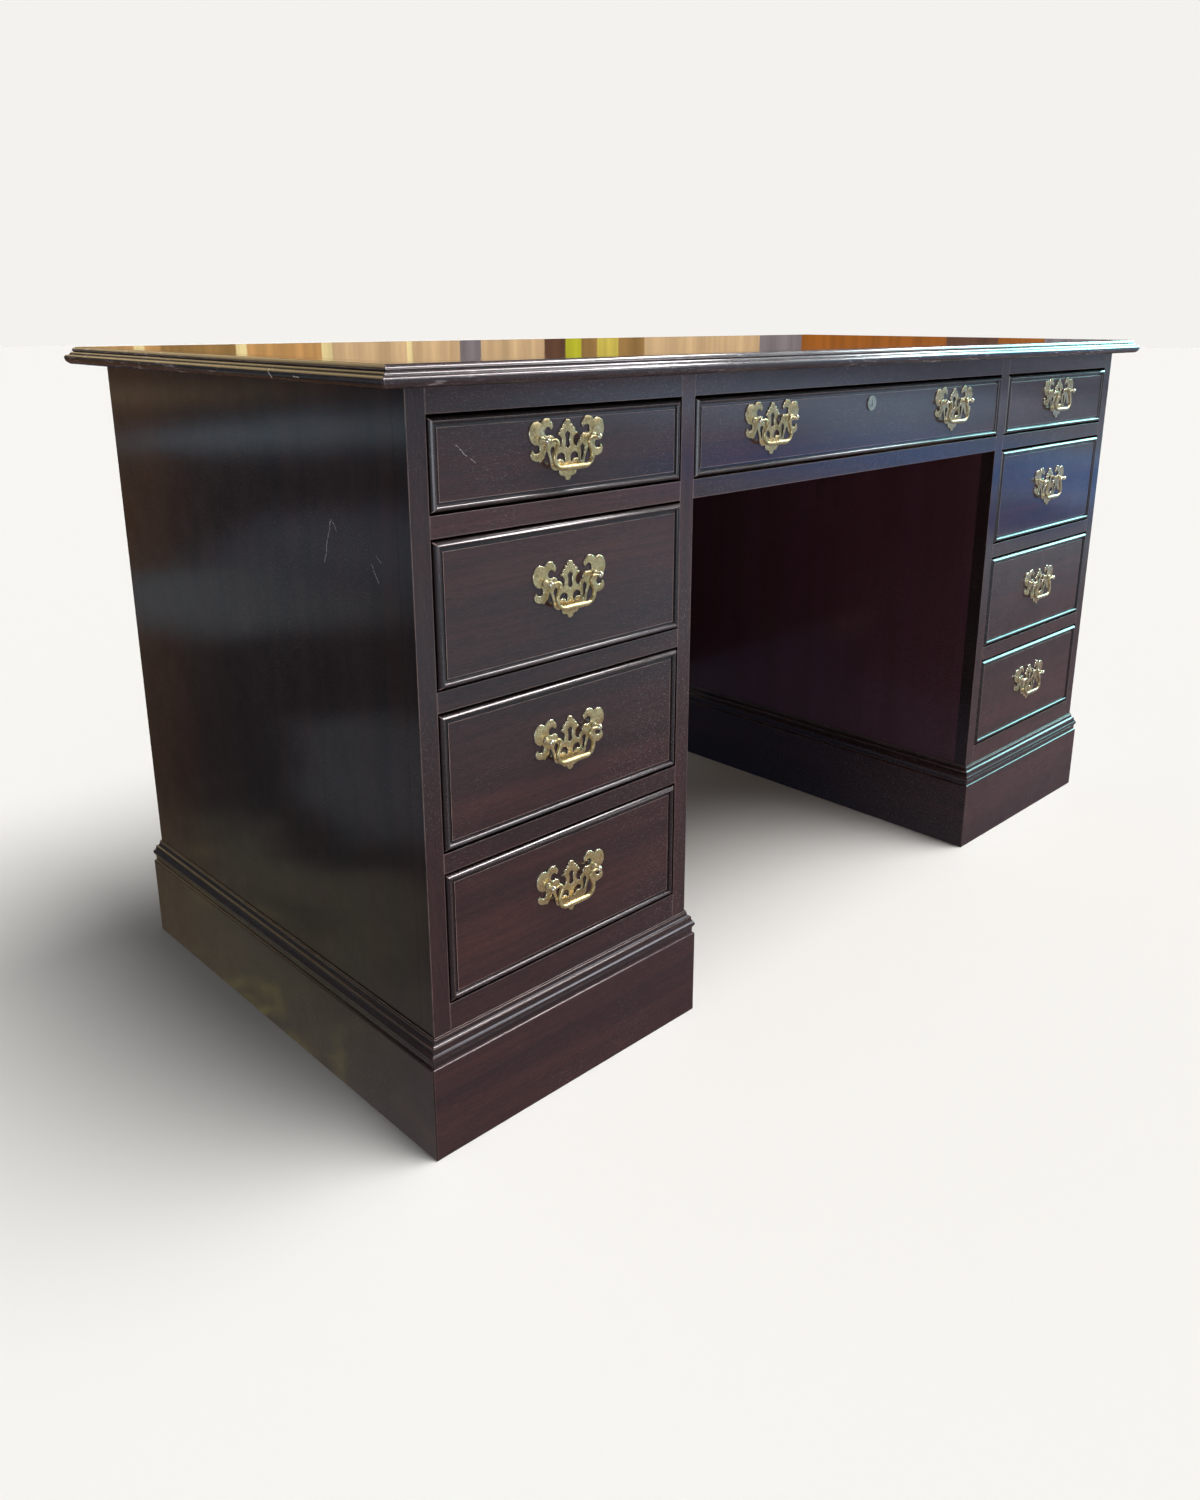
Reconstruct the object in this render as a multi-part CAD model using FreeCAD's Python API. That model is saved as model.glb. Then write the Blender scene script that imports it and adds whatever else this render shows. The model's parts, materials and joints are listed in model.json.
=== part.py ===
import FreeCAD, Part
import math
import os

# Double-pedestal kneehole writing desk with nine drawers and ten bail pulls.
# Frame: millimetres, +X to the sitter's right, -Y towards the sitter, +Z up.
# The origin is on the floor, under the middle of the desk.

V = FreeCAD.Vector

# ---------------------------------------------------------------- driving sizes
# Overall
DESK_HEIGHT = 756.0
BODY_WIDTH = 1348.0
BODY_DEPTH = 602.0
PEDESTAL_WIDTH = 354.0

# Top: the overhang is alike at both ends, and alike at the front and the back
TOP_THICKNESS = 19.0
TOP_OVERHANG_END = 37.5
TOP_OVERHANG_FRONT = 27.0
LIPPING_WIDTH = 42.0
TOP_EDGE_MOULDED_WIDTH = 11.5

# Glue line between the mitred ends of mouldings and plinth boards
MITRE_GAP = 0.1

# Boards and front frame
PANEL_THICKNESS = 19.0
BACK_THICKNESS = 12.0
BOTTOM_THICKNESS = 12.0
STILE_PAST_PANEL = 1.0
FRAME_DEPTH = 20.0
RAIL_HEIGHT = 20.0
TOP_RAIL_HEIGHT = 23.0
BOTTOM_RAIL_REVEAL = 28.0
TOP_OPENING_HEIGHT = 85.0
LOWER_ROWS = 3
MODESTY_FLOOR_GAP = 160.0
BOTTOM_BOARD_DROP = 8.0

# Plinth and base moulding
PLINTH_HEIGHT = 102.0
PLINTH_PROJECTION = 9.2
PLINTH_THICKNESS = 19.0
PLINTH_ARRIS = 2.0
BASE_MOULDING_HEIGHT = 28.0
CORNER_BLOCK_LEG = 48.0
CORNER_BLOCK_FLOOR_GAP = 17.0

# Drawer fronts
FRONT_THICKNESS = 20.0
GAP_SIDE = 1.5
GAP_TOP = 2.5
GAP_BOTTOM = 1.5
BEAD_WIDTH = 6.5
BEAD_CREST_INSET = 3.4
BEAD_PROUD = 2.2
BEAD_SHOULDER = 4.0
QUIRK_WIDTH = 2.5
QUIRK_DEPTH = 1.0
QUIRK_SLOPE = 0.4

# Drawer boxes, runners and stops
BOX_BACK_SPACE = 50.0
BOX_SIDE_THICKNESS = 12.0
BOX_TOP_CLEARANCE = 8.0
BOX_BACK_DROP = 10.0
DRAWER_BOTTOM_THICKNESS = 6.0
DRAWER_BOTTOM_LIFT = 8.0
BOTTOM_GROOVE_DEPTH = 5.0
BOTTOM_GROOVE_PLAY = 0.1
RUNNER_WIDTH = 24.0
RUNNING_CLEARANCE = 0.3
STOP_LENGTH = 20.0
STOP_HEIGHT = 15.0
# The stop blocks of the second drawer on the left are worn, so it closes short.
SHORT_CLOSING = {"left_drawer_2": 2.0}

# Screws that hold the top
SCREW_RADIUS = 2.0
SCREW_HEAD_RADIUS = 4.0
SCREW_HEAD_HEIGHT = 2.4
SCREW_REACH = 12.0
SCREW_END_INSET = 70.0
THREAD_CLEARANCE = 0.05
HOLE_CLEARANCE = 0.3

# Bail pulls
POST_SPACING = 64.0
TOP_ROW_PULL_RISE = 13.0
PULL_RISE = 12.0
CENTRE_PULL_OFFSET = 193.0
PLATE_THICKNESS = 1.6
BAIL_STANDOFF = 9.5
POST_COLLAR_RADIUS = 3.6
POST_COLLAR_THICKNESS = 1.6
POST_NECK_RADIUS = 2.1
POST_BALL_RADIUS = 3.1
SHANK_RADIUS = 2.0
NUT_ACROSS_FLATS = 8.0
NUT_THICKNESS = 3.2
SHANK_PAST_NUT = 2.0
BAIL_PIN_RADIUS = 1.1
BAIL_PIN_CLEARANCE = 0.08
BAIL_PIN_DEPTH = 3.1
BAIL_END_PLAY = 0.3
BAIL_RADIUS = 2.1
BAIL_GRIP_RADIUS = 3.0
BAIL_DROP = 25.5
BAIL_NECK_RADIUS = 4.2
BAIL_NECK_RISE = 0.6
BAIL_NECK_INSET = 8.2
BAIL_CORNER_RADIUS = 9.5
BAIL_CORNER_INSET = 17.7

# Lock of the centre drawer
LOCK_RISE = 20.0
LOCK_FACE_RADIUS = 9.0
LOCK_FACE_PROUD = 1.4
LOCK_BODY_RADIUS = 7.8
LOCK_PLUG_RADIUS = 5.8
LOCK_PLUG_CLEARANCE = 0.08
LOCK_NUT_ACROSS_FLATS = 22.0
LOCK_NUT_THICKNESS = 4.0
LOCK_BODY_PAST_NUT = 3.0
KEY_SLOT_WIDTH = 1.4
KEY_SLOT_LENGTH = 7.6
KEY_SLOT_DEPTH = 5.0
CAM_THICKNESS = 2.0
CAM_WIDTH = 13.0
CAM_PAST_RAIL = 10.0
CAM_GAP = 0.4

# How far a cutting tool runs past what it cuts
CUT_PAST = 10.0

# ---------------------------------------------------------------- drawn profiles
# A step is (end,) for a straight line or (middle, end) for an arc.
#
# Edge of the top, in shares of its moulded width, from the outside in, and of the
# top's thickness: thumbnail bead, step, cove, fillet and small bead.
TOP_EDGE_START = (0.435, 0)
TOP_EDGE_STEPS = [
    ((0.113, 0.158), (0, 0.358)),
    ((0.078, 0.495), (0.278, 0.547)),
    ((0.417, 0.547),),
    ((0.417, 0.579),),
    ((0.513, 0.679), (0.687, 0.721)),
    ((0.687, 0.753),),
    ((0.600, 0.779),),
    ((0.717, 0.928), (1, 1)),
]

# Base moulding, in shares of its projection, from the body out, and of its height:
# undercut, bead, cove, step, cove and fillet.
BASE_MOULDING_START = (0, 0)
BASE_MOULDING_STEPS = [
    ((0.739, 0),),
    ((0.739, 0.150),),
    ((0.783, 0.236), (0.870, 0.293)),
    ((1, 0.386), (0.891, 0.479)),
    ((0.728, 0.557), (0.641, 0.700)),
    ((0.641, 0.729),),
    ((0.522, 0.729),),
    ((0.315, 0.800), (0.250, 0.929)),
    ((0.152, 0.929),),
    ((0.152, 1),),
    ((0, 1),),
]

# Half of the pierced bat-wing plate, in millimetres when its posts are
# PLATE_DRAWN_SPACING apart: x from its middle, z from the posts' axis, from the
# finial down to the drop. A plate for another spacing is stretched sideways.
PLATE_DRAWN_SPACING = 64.0
PLATE_START = (0, 17.3)
PLATE_STEPS = [
    ((3.3, 15.9), (3.2, 12.4)),
    ((6.5, 11.8), (5.9, 9.4)),
    ((9.4, 8.6), (9.0, 6.0)),
    ((11.2, 5.5), (12.4, 3.8)),
    ((7.0, -1.5), (12.3, -8.4)),
    ((13.0, -5.0), (16.4, -2.6)),
    ((17.8, 2.6), (22.8, 3.3)),
    ((28.0, 7.3), (22.3, 11.0)),
    ((19.4, 8.9),),
    ((17.9, 12.9), (20.6, 16.4)),
    ((22.0, 18.9),),
    ((28.0, 19.0), (32.7, 15.1)),
    ((39.5, 17.0), (45.2, 11.8)),
    ((46.3, 4.5), (38.8, -4.4)),
    ((36.2, -4.2),),
    ((36.4, -11.3), (42.3, -8.1)),
    ((45.0, -12.4), (40.5, -18.0)),
    ((38.2, -18.9), (35.6, -18.6)),
    ((34.0, -20.3),),
    ((29.4, -16.0), (26.4, -9.8)),
    ((22.9, -16.4), (21.2, -22.0)),
    ((18.8, -27.2), (13.8, -28.8)),
    ((10.6, -29.0),),
    ((9.9, -33.0), (6.2, -34.4)),
    ((3.4, -35.5),),
    ((2.5, -38.0), (0, -38.9)),
]
KEYHOLE_START = (0, 6.6)
KEYHOLE_STEPS = [
    ((3.5, 3.6),),
    ((2.5, 0.2), (3.0, -6.9)),
    ((0, -9.2),),
]
ARCH_START = (3.4, -18.6)
ARCH_STEPS = [
    ((8.3, -13.0), (13.6, -17.6)),
    ((12.9, -19.4),),
    ((7.8, -19.0), (4.2, -22.3)),
]
SLOT_START = (18.2, -6.4)
SLOT_STEPS = [
    ((21.0, -9.0), (20.4, -13.5)),
    ((19.2, -18.2), (16.6, -21.6)),
    ((16.7, -14.8), (15.8, -8.6)),
]

# ---------------------------------------------------------------- derived places
half_body = BODY_WIDTH / 2
half_depth = BODY_DEPTH / 2
front_y = -half_depth
frame_back_y = front_y + FRAME_DEPTH
back_inner_y = half_depth - BACK_THICKNESS
box_back_y = back_inner_y - BOX_BACK_SPACE
knee_half = half_body - PEDESTAL_WIDTH
pedestal_mid = half_body - PEDESTAL_WIDTH / 2
stile_width = PANEL_THICKNESS + STILE_PAST_PANEL
opening_width = PEDESTAL_WIDTH - 2 * stile_width
body_top = DESK_HEIGHT - TOP_THICKNESS
moulding_top = PLINTH_HEIGHT + BASE_MOULDING_HEIGHT
bottom_rail_top = moulding_top + BOTTOM_RAIL_REVEAL
top_opening_high = body_top - TOP_RAIL_HEIGHT
top_opening_low = top_opening_high - TOP_OPENING_HEIGHT
lower_opening_height = (
    top_opening_low - bottom_rail_top - LOWER_ROWS * RAIL_HEIGHT) / LOWER_ROWS
plinth_inset = PLINTH_THICKNESS - PLINTH_PROJECTION
field_inset = BEAD_WIDTH + QUIRK_WIDTH
plate_stretch = POST_SPACING / PLATE_DRAWN_SPACING

SIDES = {"left": -1, "right": 1}


def opening_levels():
    """Bottom and top of each pedestal opening, from the top row down."""
    levels = [(top_opening_low, top_opening_high)]
    for _ in range(LOWER_ROWS):
        high = levels[-1][0] - RAIL_HEIGHT
        levels.append((high - lower_opening_height, high))
    return levels


levels = opening_levels()


# ---------------------------------------------------------------- shape helpers
def block(x_pair, y_pair, z_pair):
    """Rectangular board between two values on each axis, given in any order."""
    x0, x1 = sorted(x_pair)
    y0, y1 = sorted(y_pair)
    z0, z1 = sorted(z_pair)
    return Part.makeBox(x1 - x0, y1 - y0, z1 - z0, V(x0, y0, z0))


def moved(shape, x=0.0, y=0.0, z=0.0):
    """Copy of a shape, shifted."""
    copy = shape.copy()
    copy.translate(V(x, y, z))
    return copy


def facing_front(shape):
    """Copy of a flat-lying shape stood up, so that its +Z side faces -Y."""
    copy = shape.copy()
    copy.rotate(V(0, 0, 0), V(1, 0, 0), 90)
    return copy


def path_edges(start, steps, place):
    """Joined lines and arcs of a drawn path, each point put in space by place."""
    edges = []
    here = start
    for step in steps:
        points = [place(here)] + [place(point) for point in step]
        curve = Part.LineSegment if len(points) == 2 else Part.Arc
        edges.append(curve(*points).toShape())
        here = step[-1]
    return edges


def outline(start, steps, place):
    """Closed wire of a drawn path, which may end where it starts."""
    closing = [] if steps[-1][-1] == start else [(start,)]
    return Part.Wire(path_edges(start, steps + closing, place))


def mirrored_steps(start, steps):
    """Steps from the end of a half path back to its start, with x negated."""
    points = [start] + [step[-1] for step in steps]
    back = []
    for index in range(len(steps) - 1, -1, -1):
        passed = list(steps[index][:-1]) + [points[index]]
        back.append(tuple((-point[0], point[1]) for point in passed))
    return back


def scaled_steps(steps, x_scale, z_scale):
    """Steps of a profile drawn in shares, at its real size."""
    return [tuple((x_scale * x, z_scale * z) for x, z in step) for step in steps]


def upright_arc(foot, crest):
    """Middle of the arc that leaves foot straight up or down and ends at crest."""
    across = crest[0] - foot[0]
    rise = crest[1] - foot[1]
    radius = (across ** 2 + rise ** 2) / (2 * abs(across))
    half_turn = math.atan2(abs(rise), radius - abs(across)) / 2
    return (foot[0] + math.copysign(radius * (1 - math.cos(half_turn)), across),
            foot[1] + math.copysign(radius * math.sin(half_turn), rise))


def mitred_ring(start, steps, half_x, half_y, gap=MITRE_GAP):
    """Four mitred lengths of a moulding round a rectangle.

    The profile is drawn as (distance out from the rectangle, height). Neighbouring
    lengths are parted by the gap.
    """
    points = [start] + [point for step in steps for point in step]
    reach = max(abs(point[0]) for point in points) + CUT_PAST
    lengths = []
    for turn in range(4):
        half_run, half_out = (half_x, half_y) if turn % 2 == 0 else (half_y, half_x)
        end_x = -half_run - reach
        face = Part.Face(outline(start, steps, lambda p: V(end_x, -half_out - p[0], p[1])))
        bar = face.extrude(V(-2 * end_x, 0, 0))
        box = bar.BoundBox
        mitre_x = half_run - gap / math.sqrt(2)
        plan = [V(-mitre_x + reach, -half_out + reach, 0),
                V(mitre_x - reach, -half_out + reach, 0),
                V(mitre_x + reach, -half_out - reach, 0),
                V(-mitre_x - reach, -half_out - reach, 0)]
        wedge = Part.Face(Part.makePolygon(plan + plan[:1]))
        wedge.translate(V(0, 0, box.ZMin - CUT_PAST))
        piece = bar.common(wedge.extrude(V(0, 0, box.ZLength + 2 * CUT_PAST)))
        piece.rotate(V(0, 0, 0), V(0, 0, 1), 90 * turn)
        lengths.append(piece)
    return lengths


def hexagon_nut(across_flats, thickness, bore_radius):
    """Nut lying flat on z = 0 with its bore along +Z."""
    corner = across_flats / math.sqrt(3)
    ring = [V(corner * math.cos(math.radians(60 * k)),
              corner * math.sin(math.radians(60 * k)), 0) for k in range(7)]
    nut = Part.Face(Part.makePolygon(ring)).extrude(V(0, 0, thickness))
    return nut.cut(Part.makeCylinder(bore_radius, thickness))


def save(name, solids):
    """Write one node: a list of separate solids, or one shape."""
    shape = Part.makeCompound(solids) if isinstance(solids, list) else solids
    shape.exportStep("parts/%s.step" % name)


# ---------------------------------------------------------------- top
def top_lipping():
    """Moulded solid-wood edge round the top, mitred at the corners."""
    inwards = scaled_steps([(TOP_EDGE_START,)] + TOP_EDGE_STEPS,
                           -TOP_EDGE_MOULDED_WIDTH, TOP_THICKNESS)
    steps = inwards + [((-LIPPING_WIDTH, TOP_THICKNESS),)]
    ring = mitred_ring((-LIPPING_WIDTH, 0), steps, half_body + TOP_OVERHANG_END,
                       half_depth + TOP_OVERHANG_FRONT)
    return [moved(length, z=body_top) for length in ring]


def pedestal_strips():
    """x range of the strips against the inner faces of both pedestals' panels."""
    strips = []
    for side in SIDES.values():
        outer = side * (half_body - PANEL_THICKNESS)
        inner = side * (knee_half + PANEL_THICKNESS)
        strips.append((outer, outer - side * RUNNER_WIDTH))
        strips.append((inner, inner + side * RUNNER_WIDTH))
    return strips


def knee_strips():
    """x range of the strips against the panels on the kneehole side."""
    return [(side * knee_half, side * (knee_half - RUNNER_WIDTH))
            for side in SIDES.values()]


def screw_places():
    """Plan places of the screws, two in each kicker."""
    places = []
    for strip in pedestal_strips() + knee_strips():
        for y in (frame_back_y + SCREW_END_INSET, back_inner_y - SCREW_END_INSET):
            places.append((sum(strip) / 2, y))
    return places


def screw(radius_gap, reach_gap):
    """Countersunk screw from a kicker's underside up into the top."""
    head = Part.makeCone(SCREW_HEAD_RADIUS + radius_gap, SCREW_RADIUS + radius_gap,
                         SCREW_HEAD_HEIGHT)
    shank = Part.makeCylinder(SCREW_RADIUS + radius_gap,
                              TOP_RAIL_HEIGHT + SCREW_REACH + reach_gap)
    return moved(head.fuse(shank), z=top_opening_high)


def top_panel():
    """Flat board inside the lipping, drilled for the screws from below."""
    half_x = half_body + TOP_OVERHANG_END - LIPPING_WIDTH
    half_y = half_depth + TOP_OVERHANG_FRONT - LIPPING_WIDTH
    board = block((-half_x, half_x), (-half_y, half_y), (body_top, DESK_HEIGHT))
    drill = screw(THREAD_CLEARANCE, HOLE_CLEARANCE)
    return board.cut([moved(drill, x, y) for x, y in screw_places()])


# ---------------------------------------------------------------- carcass
def side_panel(outer_x, inner_x):
    """Upright panel behind the front frame, standing on the plinth."""
    return block((outer_x, inner_x), (frame_back_y, half_depth),
                 (PLINTH_HEIGHT, body_top))


def front_stiles():
    """Four uprights of the front frame."""
    stiles = []
    for side in SIDES.values():
        for edge in (side * half_body, side * (knee_half + stile_width)):
            stiles.append(block((edge, edge - side * stile_width),
                                (front_y, frame_back_y), (PLINTH_HEIGHT, body_top)))
    return stiles


def pedestal_rails(side):
    """Rails of one pedestal, between its stiles."""
    half = opening_width / 2
    x_pair = (side * pedestal_mid - half, side * pedestal_mid + half)
    heights = [(top_opening_high, body_top), (PLINTH_HEIGHT, bottom_rail_top)]
    heights += [(low - RAIL_HEIGHT, low) for low, _ in levels[:-1]]
    return [block(x_pair, (front_y, frame_back_y), pair) for pair in heights]


def centre_rails():
    """Rails above and below the centre drawer."""
    heights = [(top_opening_high, body_top),
               (top_opening_low - RAIL_HEIGHT, top_opening_low)]
    return [block((-knee_half, knee_half), (front_y, frame_back_y), pair)
            for pair in heights]


def runners():
    """Runner strips under every drawer."""
    y_pair = (frame_back_y, back_inner_y)
    solids = [block(strip, y_pair, (low - RAIL_HEIGHT, low))
              for strip in pedestal_strips() for low, _ in levels]
    solids += [block(strip, y_pair, (top_opening_low - RAIL_HEIGHT, top_opening_low))
               for strip in knee_strips()]
    return solids


def kickers():
    """Strips under the top that keep open drawers level, drilled for its screws."""
    drill = screw(HOLE_CLEARANCE, 0)
    holes = [moved(drill, x, y) for x, y in screw_places()]
    return [block(strip, (frame_back_y, back_inner_y),
                  (top_opening_high, body_top)).cut(holes)
            for strip in pedestal_strips() + knee_strips()]


def back_board(x_pair, bottom):
    """Flush back board."""
    return block(x_pair, (back_inner_y, half_depth), (bottom, body_top))


def between_panels(side):
    """x range between the inner faces of one pedestal's panels."""
    return (side * (half_body - PANEL_THICKNESS), side * (knee_half + PANEL_THICKNESS))


def bottom_board(side):
    """Dust board under the lowest drawer's runners."""
    high = bottom_rail_top - RAIL_HEIGHT - BOTTOM_BOARD_DROP
    return block(between_panels(side), (frame_back_y, back_inner_y),
                 (high - BOTTOM_THICKNESS, high))


def plinth(side):
    """Four mitred plinth boards with an eased upper arris."""
    out = PLINTH_PROJECTION
    shoulder = (out, PLINTH_HEIGHT - PLINTH_ARRIS)
    crest = (out - PLINTH_ARRIS, PLINTH_HEIGHT)
    steps = [
        ((out, 0),),
        (shoulder,),
        (upright_arc(shoulder, crest), crest),
        ((-plinth_inset, PLINTH_HEIGHT),),
    ]
    ring = mitred_ring((-plinth_inset, 0), steps, PEDESTAL_WIDTH / 2, half_depth)
    return [moved(length, x=side * pedestal_mid) for length in ring]


def base_moulding(side):
    """Cap moulding round one pedestal, on top of its plinth."""
    steps = scaled_steps(BASE_MOULDING_STEPS, PLINTH_PROJECTION, BASE_MOULDING_HEIGHT)
    ring = mitred_ring(BASE_MOULDING_START, steps, PEDESTAL_WIDTH / 2, half_depth)
    return [moved(length, x=side * pedestal_mid, z=PLINTH_HEIGHT) for length in ring]


def corner_blocks(side):
    """Three-cornered glue blocks inside the plinth."""
    half_x = PEDESTAL_WIDTH / 2 - plinth_inset
    half_y = half_depth - plinth_inset
    blocks = []
    for sx in (-1, 1):
        for sy in (-1, 1):
            corner = V(side * pedestal_mid + sx * half_x, sy * half_y,
                       CORNER_BLOCK_FLOOR_GAP)
            plan = [corner, corner - V(sx * CORNER_BLOCK_LEG, 0, 0),
                    corner - V(0, sy * CORNER_BLOCK_LEG, 0), corner]
            face = Part.Face(Part.makePolygon(plan))
            blocks.append(face.extrude(V(0, 0, PLINTH_HEIGHT - CORNER_BLOCK_FLOOR_GAP)))
    return blocks


# ---------------------------------------------------------------- pulls
def flat_place(point):
    """A pull is drawn lying flat on z = 0 before it is stood up."""
    return V(point[0], point[1], 0)


def plate_place(point):
    """A plate's outline is stretched sideways to suit its posts."""
    return V(plate_stretch * point[0], point[1], 0)


def plate_prism(start, steps):
    """Solid of the plate's thickness from one closed outline."""
    face = Part.Face(outline(start, steps, plate_place))
    return face.extrude(V(0, 0, PLATE_THICKNESS))


def back_plate():
    """Pierced plate lying flat, back face on z = 0."""
    plate = plate_prism(PLATE_START, PLATE_STEPS + mirrored_steps(PLATE_START, PLATE_STEPS))
    holes = [plate_prism(KEYHOLE_START,
                         KEYHOLE_STEPS + mirrored_steps(KEYHOLE_START, KEYHOLE_STEPS))]
    for start, steps in ((ARCH_START, ARCH_STEPS), (SLOT_START, SLOT_STEPS)):
        hole = plate_prism(start, steps)
        holes += [hole, hole.mirror(V(0, 0, 0), V(1, 0, 0))]
    for sign in (-1, 1):
        bore = Part.makeCylinder(SHANK_RADIUS + HOLE_CLEARANCE, PLATE_THICKNESS)
        holes.append(moved(bore, x=sign * POST_SPACING / 2))
    return plate.cut(holes)


def post(sign):
    """Post with a ball head, drilled from the inside for the bail's pin."""
    shank_back = FRONT_THICKNESS + NUT_THICKNESS + SHANK_PAST_NUT
    shank = moved(Part.makeCylinder(SHANK_RADIUS, shank_back + PLATE_THICKNESS),
                  z=-shank_back)
    collar = moved(Part.makeCylinder(POST_COLLAR_RADIUS, POST_COLLAR_THICKNESS),
                   z=PLATE_THICKNESS)
    neck = moved(Part.makeCylinder(POST_NECK_RADIUS, BAIL_STANDOFF - PLATE_THICKNESS),
                 z=PLATE_THICKNESS)
    ball = moved(Part.makeSphere(POST_BALL_RADIUS), z=BAIL_STANDOFF)
    solid = shank.fuse([collar, neck, ball]).removeSplitter()
    bore_end = sign * (BAIL_PIN_DEPTH + BAIL_END_PLAY - POST_BALL_RADIUS)
    bore = Part.makeCylinder(BAIL_PIN_RADIUS + BAIL_PIN_CLEARANCE,
                             BAIL_PIN_DEPTH + BAIL_END_PLAY + POST_BALL_RADIUS,
                             V(bore_end, 0, BAIL_STANDOFF), V(-sign, 0, 0))
    return moved(solid.cut(bore), x=sign * POST_SPACING / 2)


def pull_fixture():
    """Plate, two posts and their nuts, in front of z = 0, the drawer's field."""
    solids = [back_plate()]
    for sign in (-1, 1):
        solids.append(post(sign))
        nut = hexagon_nut(NUT_ACROSS_FLATS, NUT_THICKNESS,
                          SHANK_RADIUS + THREAD_CLEARANCE)
        solids.append(moved(nut, x=sign * POST_SPACING / 2,
                            z=-FRONT_THICKNESS - NUT_THICKNESS))
    return solids


def on_circle(centre, radius, angle):
    """Point of a circle, the angle in radians from +X towards +Y."""
    return (centre[0] + radius * math.cos(angle), centre[1] + radius * math.sin(angle))


def bail_half_steps(shoulder):
    """Right half of the bail's centre line, from its shoulder to the grip's end.

    It sweeps up from the post, over the neck, straight down the leg and round the
    corner. Each arc meets the next line or arc smoothly.
    """
    neck = (POST_SPACING / 2 - BAIL_NECK_INSET, BAIL_NECK_RISE - BAIL_NECK_RADIUS)
    corner = (POST_SPACING / 2 - BAIL_CORNER_INSET, BAIL_CORNER_RADIUS - BAIL_DROP)
    run = shoulder - neck[0]
    sweep_radius = ((run ** 2 + BAIL_NECK_RISE ** 2) / (2 * BAIL_NECK_RISE)
                    - BAIL_NECK_RADIUS)
    sweep = (shoulder, sweep_radius)
    sweep_turn = math.asin(run / (sweep_radius + BAIL_NECK_RADIUS))
    tilt = math.atan2(corner[0] - neck[0], neck[1] - corner[1]) + math.asin(
        (BAIL_NECK_RADIUS + BAIL_CORNER_RADIUS) / math.dist(neck, corner))
    neck_start = math.pi / 2 - sweep_turn
    neck_end = math.pi + tilt
    return [
        (on_circle(sweep, sweep_radius, -(math.pi + sweep_turn) / 2),
         on_circle(neck, BAIL_NECK_RADIUS, neck_start)),
        (on_circle(neck, BAIL_NECK_RADIUS, (neck_start + neck_end) / 2),
         on_circle(neck, BAIL_NECK_RADIUS, neck_end)),
        (on_circle(corner, BAIL_CORNER_RADIUS, tilt),),
        (on_circle(corner, BAIL_CORNER_RADIUS, tilt / 2 - math.pi / 4),
         (corner[0], -BAIL_DROP)),
    ]


def bail_grip(half_length):
    """Thicker bar of the grip, fullest in the middle, along the x axis."""
    end = (half_length, BAIL_RADIUS)
    steps = [((0, BAIL_GRIP_RADIUS), (-half_length, BAIL_RADIUS)),
             ((-half_length, 0),),
             ((half_length, 0),)]
    face = Part.Face(outline(end, steps, flat_place))
    return face.revolve(V(0, 0, 0), V(1, 0, 0), 360)


def bail():
    """Swan-neck bail hanging from the x axis, flat in the plane z = 0."""
    ball_face = POST_SPACING / 2 - POST_BALL_RADIUS
    shoulder = ball_face - BAIL_END_PLAY
    start = (shoulder, 0)
    half_steps = bail_half_steps(shoulder)
    grip_half = half_steps[-1][-1][0]
    steps = half_steps + [((-grip_half, -BAIL_DROP),)] + mirrored_steps(start, half_steps)
    section = Part.Wire(Part.makeCircle(BAIL_RADIUS, flat_place(start), V(1, 0, 0)))
    spine = Part.Wire(path_edges(start, steps, flat_place))
    tube = spine.makePipeShell([section], True, True)
    pins = [Part.makeCylinder(BAIL_PIN_RADIUS, BAIL_PIN_DEPTH + 2 * BAIL_END_PLAY,
                              V(sign * (shoulder - BAIL_END_PLAY), 0, 0), V(sign, 0, 0))
            for sign in (-1, 1)]
    grip = moved(bail_grip(grip_half), y=-BAIL_DROP)
    return tube.fuse([grip] + pins).removeSplitter()


fixture_solids = pull_fixture()
bail_solid = bail()


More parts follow.
